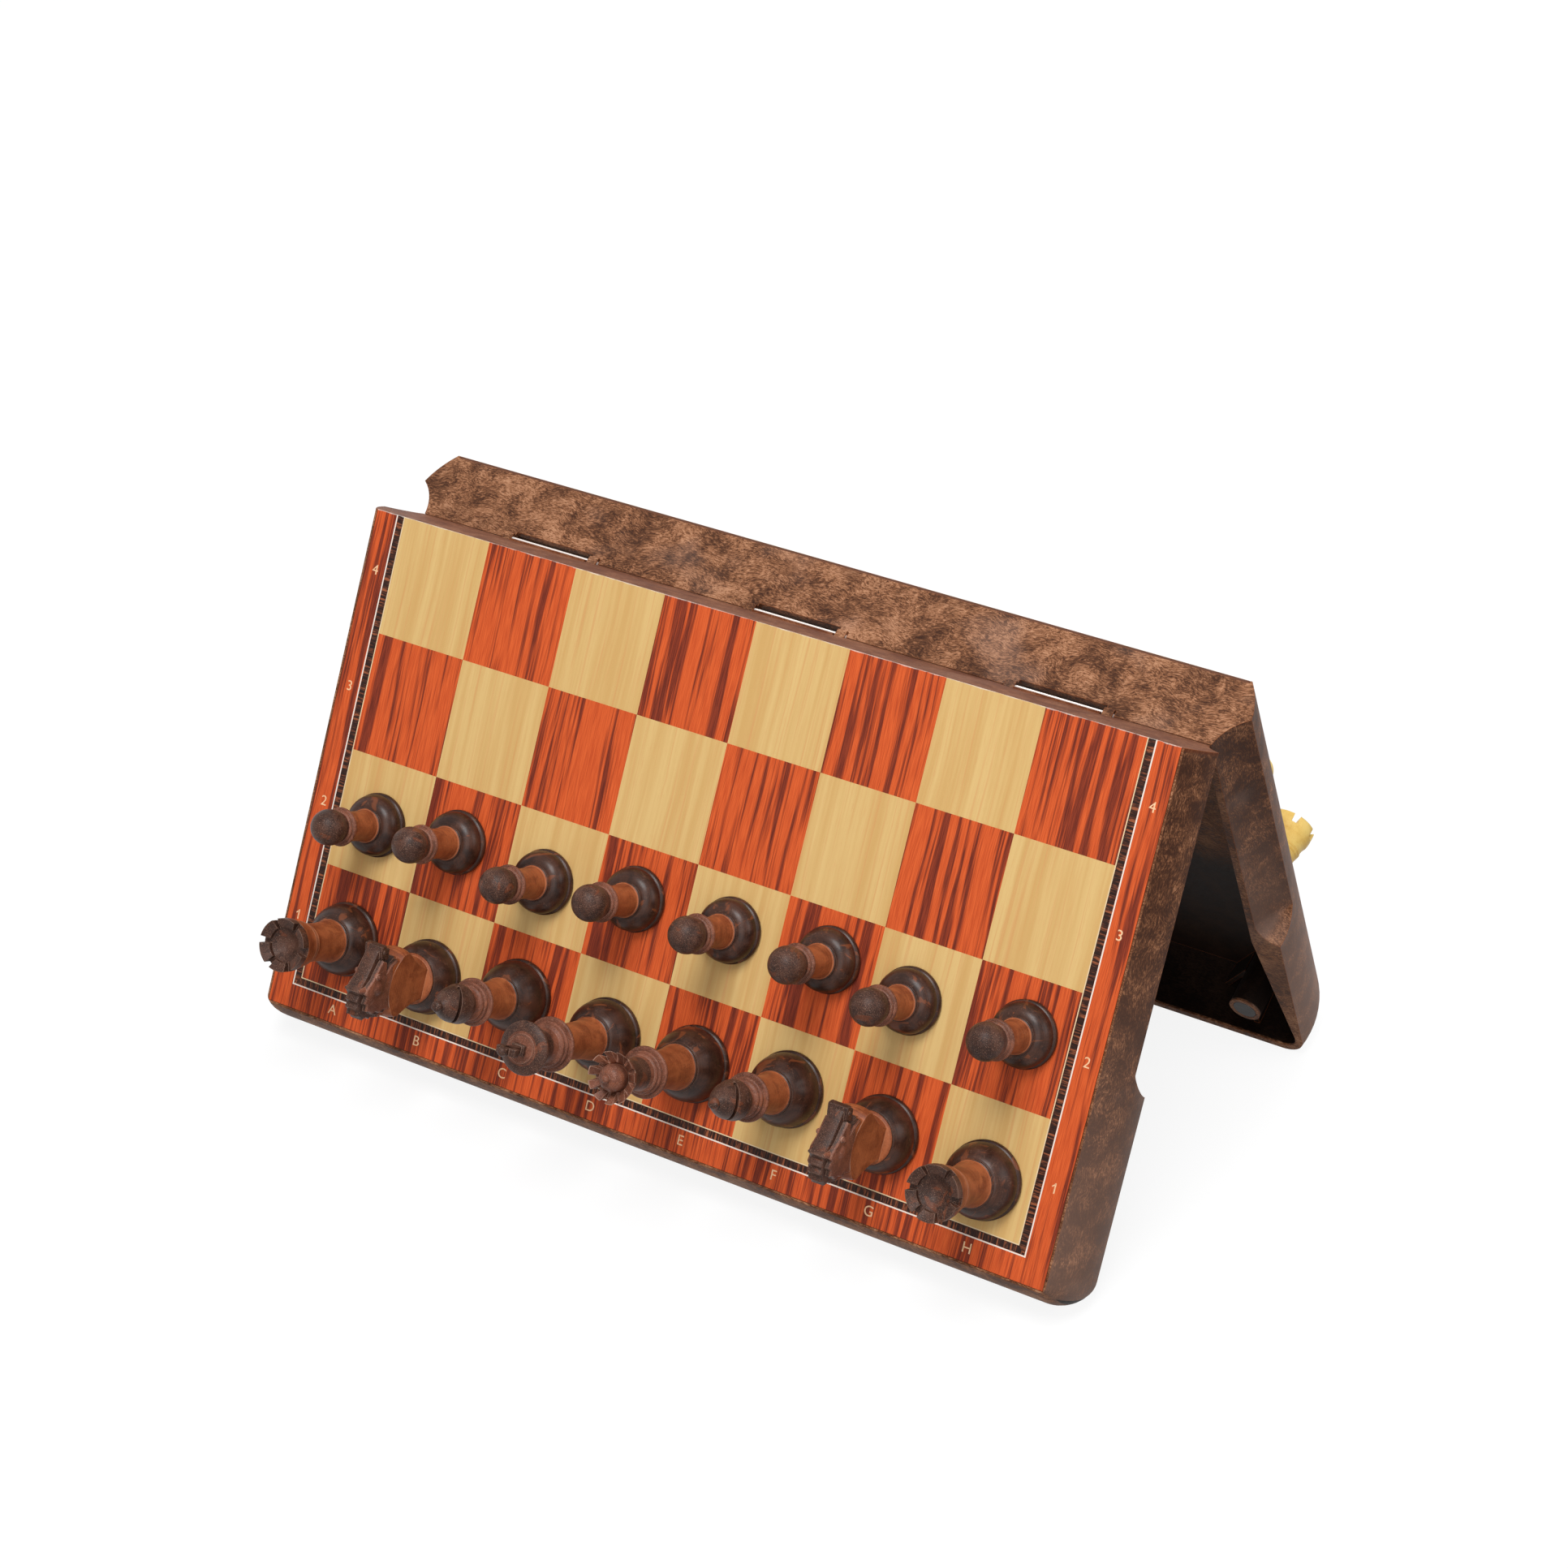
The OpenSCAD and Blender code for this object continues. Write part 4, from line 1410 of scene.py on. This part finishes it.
KINDS: dict[str, tuple[type[Man], float, tuple[tuple[float, Band], ...]]] = {
    "pawn": (
        Pawn, 10.5, ((8.6, Band.FOOT), (21.0, Band.STEM), (24.4, Band.COLLAR), (99, Band.HEAD))
    ),
    "rook": (Rook, 12.2, ((11.2, Band.FOOT), (33.0, Band.STEM), (99, Band.HEAD))),
    "knight": (Knight, 12.2, ((10.85, Band.FOOT), (27.0, Band.STEM), (99, Band.HEAD))),
    "bishop": (
        Bishop, 12.2, ((12.8, Band.FOOT), (26.3, Band.STEM), (33.0, Band.COLLAR), (99, Band.HEAD))
    ),
    "queen": (
        Queen, 12.2,
        (
            (13.2, Band.FOOT), (30.4, Band.STEM), (36.0, Band.COLLAR), (48.0, Band.HEAD),
            (99, Band.COLLAR),
        ),
    ),
    "king": (
        King, 12.2,
        (
            (12.0, Band.FOOT), (33.3, Band.STEM), (41.0, Band.COLLAR), (51.1, Band.HEAD),
            (52.4, Band.COLLAR), (99, Band.HEAD),
        ),
    ),
}

DARK_FINISHES = (
    MarbledPlastic(
        "dark_foot",
        ground=ink(72, 43, 31),
        shade=ink(37, 20, 14),
        patch=ink(132, 72, 42),
        rubbed=ink(138, 102, 84),
        gloss=0.34,
        coat=0.08,
        patches=0.55,
        rings=0.3,
    ),
    MarbledPlastic(
        "dark_stem",
        ground=ink(164, 92, 54),
        shade=ink(116, 58, 32),
        patch=ink(176, 104, 62),
        rubbed=ink(190, 134, 102),
        gloss=0.42,
        patches=0.4,
        speckle=0.05,
        rings=0.6,
    ),
    MarbledPlastic(
        "dark_collar",
        ground=ink(132, 80, 60),
        shade=ink(84, 48, 35),
        patch=ink(150, 86, 56),
        rubbed=ink(214, 172, 150),
        gloss=0.42,
        patches=0.4,
        speckle=0.2,
    ),
    MarbledPlastic(
        "dark_head",
        ground=ink(84, 54, 42),
        shade=ink(44, 26, 20),
        patch=ink(124, 66, 40),
        rubbed=ink(158, 124, 106),
        gloss=0.42,
        speckle=0.45,
    ),
)
CREAM_FINISHES = tuple(
    MarbledPlastic(
        f"cream_{part}",
        ground,
        shade,
        patch=ink(230, 196, 108),
        rubbed=ink(248, 224, 148),
        gloss=0.4,
        patches=0.3,
        rings=rings,
    )
    for part, ground, shade, rings in (
        ("foot", ink(236, 204, 118), ink(222, 184, 94), 0.0),
        ("stem", ink(236, 204, 118), ink(220, 180, 88), 0.3),
        ("collar", ink(236, 204, 118), ink(222, 184, 94), 0.0),
        ("head", ink(238, 207, 122), ink(224, 187, 98), 0.0),
    )
)


@dataclass
class Army:
    """The sixteen men of one half."""

    half: Half
    finishes: Sequence[MarbledPlastic]

    def build(self, nodes: Sequence[str]) -> int:
        """Builds each man whose node rests on this half.

        Args:
            nodes: All node names.

        Returns:
            How many men were made.
        """
        colour = "dark_" if self.half.side is Side.FRONT else "cream_"
        materials = [finish.build(self.half) for finish in self.finishes]
        made = 0
        for node in sorted(n for n in nodes if n.startswith(colour)):
            maker, base, bands = KINDS[node.split("_")[1]]
            maker(node, self.half, base, bands).build(materials)
            made += 1
        return made


@dataclass
class Studio:
    """Floor, lamps and camera."""

    lens: float = 83.66
    place: Vector = field(default_factory=lambda: Vector((0.5226, -0.8554, 0.7022)))
    ahead: Vector = field(default_factory=lambda: Vector((-0.4488, 0.7288, -0.5171)))
    above: Vector = field(default_factory=lambda: Vector((-0.2714, 0.4402, 0.8560)))
    sky: float = 0.26

    def build(self, ground: float) -> None:
        """Sets the whole studio up.

        Args:
            ground: Height of the floor.
        """
        self.add_camera()
        self.add_floor(ground)
        self.add_sky()
        self.add_lamp("key", Vector((0.25, -0.85, 1.9)), 0.8, 30.0)
        self.add_lamp("front", Vector((0.75, -1.75, 1.0)), 1.3, 9.0)
        self.add_lamp("right", Vector((1.7, 0.1, 1.1)), 1.0, 7.0)
        self.add_lamp("back", Vector((-0.4, 1.7, 1.2)), 1.2, 18.0)

    def add_camera(self) -> None:
        """Places the camera."""
        data = bpy.data.cameras.new("camera")
        data.lens = self.lens
        data.sensor_width = 36.0
        data.clip_end = 50.0
        camera = bpy.data.objects.new("camera", data)
        back = -self.ahead.normalized()
        right = self.above.cross(back).normalized()
        up = back.cross(right)
        turn = Matrix((right, up, back)).transposed().to_4x4()
        camera.matrix_world = Matrix.Translation(self.place) @ turn
        bpy.context.scene.collection.objects.link(camera)
        bpy.context.scene.camera = camera

    def add_floor(self, ground: float) -> None:
        """Lays a pale floor that shows white to the camera but keeps shadows."""
        bm = bmesh.new()
        bmesh.ops.create_grid(bm, x_segments=1, y_segments=1, size=6.0)
        bmesh.ops.translate(bm, vec=(0, 0, ground - 0.02 * MM), verts=bm.verts[:])
        mix = Recipe("pale_floor")
        path = mix.node("ShaderNodeLightPath", {}).outputs
        seen = mix.math("MAXIMUM", path["Is Glossy Ray"], path["Is Transmission Ray"])
        ray = mix.math("MAXIMUM", path["Is Camera Ray"], seen)
        mix.finish(
            Base_Color=mix.mix(ray, (0.3, 0.3, 0.3, 1.0), (0.14, 0.14, 0.14, 1.0)),
            Roughness=0.8,
            Specular_IOR_Level=0.0,
            Emission_Strength=mix.math("MULTIPLY", ray, 0.88),
            Emission_Color=(1.0, 1.0, 1.0, 1.0),
        )
        floor = to_piece(bm, "floor", [mix.material])
        floor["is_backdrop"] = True

    def add_sky(self) -> None:
        """Gives an even pale sky: white to the camera, softer as light."""
        world = bpy.data.worlds.new("studio")
        world.use_nodes = True
        bpy.context.scene.world = world
        tree = world.node_tree
        ground = tree.nodes["Background"]
        path = tree.nodes.new("ShaderNodeLightPath").outputs
        seen: Socket = path["Is Camera Ray"]
        for ray in ("Is Glossy Ray", "Is Transmission Ray"):
            either = tree.nodes.new("ShaderNodeMath")
            either.operation = "MAXIMUM"
            tree.links.new(seen, either.inputs[0])
            tree.links.new(path[ray], either.inputs[1])
            seen = either.outputs[0]
        level = tree.nodes.new("ShaderNodeMapRange")
        level.inputs["To Min"].default_value = self.sky
        level.inputs["To Max"].default_value = 1.0
        tree.links.new(seen, level.inputs["Value"])
        tree.links.new(level.outputs[0], ground.inputs["Strength"])
        ground.inputs["Color"].default_value = (1.0, 1.0, 1.0, 1.0)

    @staticmethod
    def add_lamp(name: str, place: Vector, size: float, watts: float) -> None:
        """Hangs a soft square lamp that faces the case."""
        data = bpy.data.lights.new(name, "AREA")
        data.size = size
        data.energy = watts
        lamp = bpy.data.objects.new(name, data)
        aim = (Vector((0, 0, 0.08)) - place).to_track_quat("-Z", "Y")
        lamp.matrix_world = Matrix.Translation(place) @ aim.to_matrix().to_4x4()
        bpy.context.scene.collection.objects.link(lamp)


def corners(box: Any) -> list[list[float]]:
    """Turns a box's two corners into plain lists."""
    return [[round(float(part), 6) for part in corner] for corner in box]


def main() -> None:
    """Builds the dressed chess case around the frame."""
    logging.basicConfig(level=logging.INFO, format="%(name)s: %(message)s")
    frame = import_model()
    cad_box = corners(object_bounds())
    Studio().build(cad_box[0][2])
    bpy.context.scene.view_settings.view_transform = "Standard"

    # The pins' near-white colour with little metal in it is a painted reflection of the pale
    # surroundings.
    steel = Metal("bright_steel", ink(246, 236, 230), 0.22, 0.35).build()
    backing = Metal("lacquered_steel", ink(62, 50, 44), 0.4, 0.5).build()
    magnet = Metal("ferrite", ink(30, 24, 22), 0.6, 0.0).build()
    letters = PrintedInk().build()
    for side, finishes in ((Side.FRONT, DARK_FINISHES), (Side.REAR, CREAM_FINISHES)):
        half = Half.from_frame(frame, side)
        CaseHalf(half).dress(backing, magnet, letters)
        LOG.info("dressed the %s half", half.name)
        count = Army(half, finishes).build(list(frame["nodes"]))
        LOG.info("set %d men on the %s half", count, half.name)
    for pin in ("left", "middle", "right"):
        dress_node(f"hinge_pin_{pin}", steel)
    LOG.info("dressed the hinge pins")


if __name__ == "__main__":
    main()
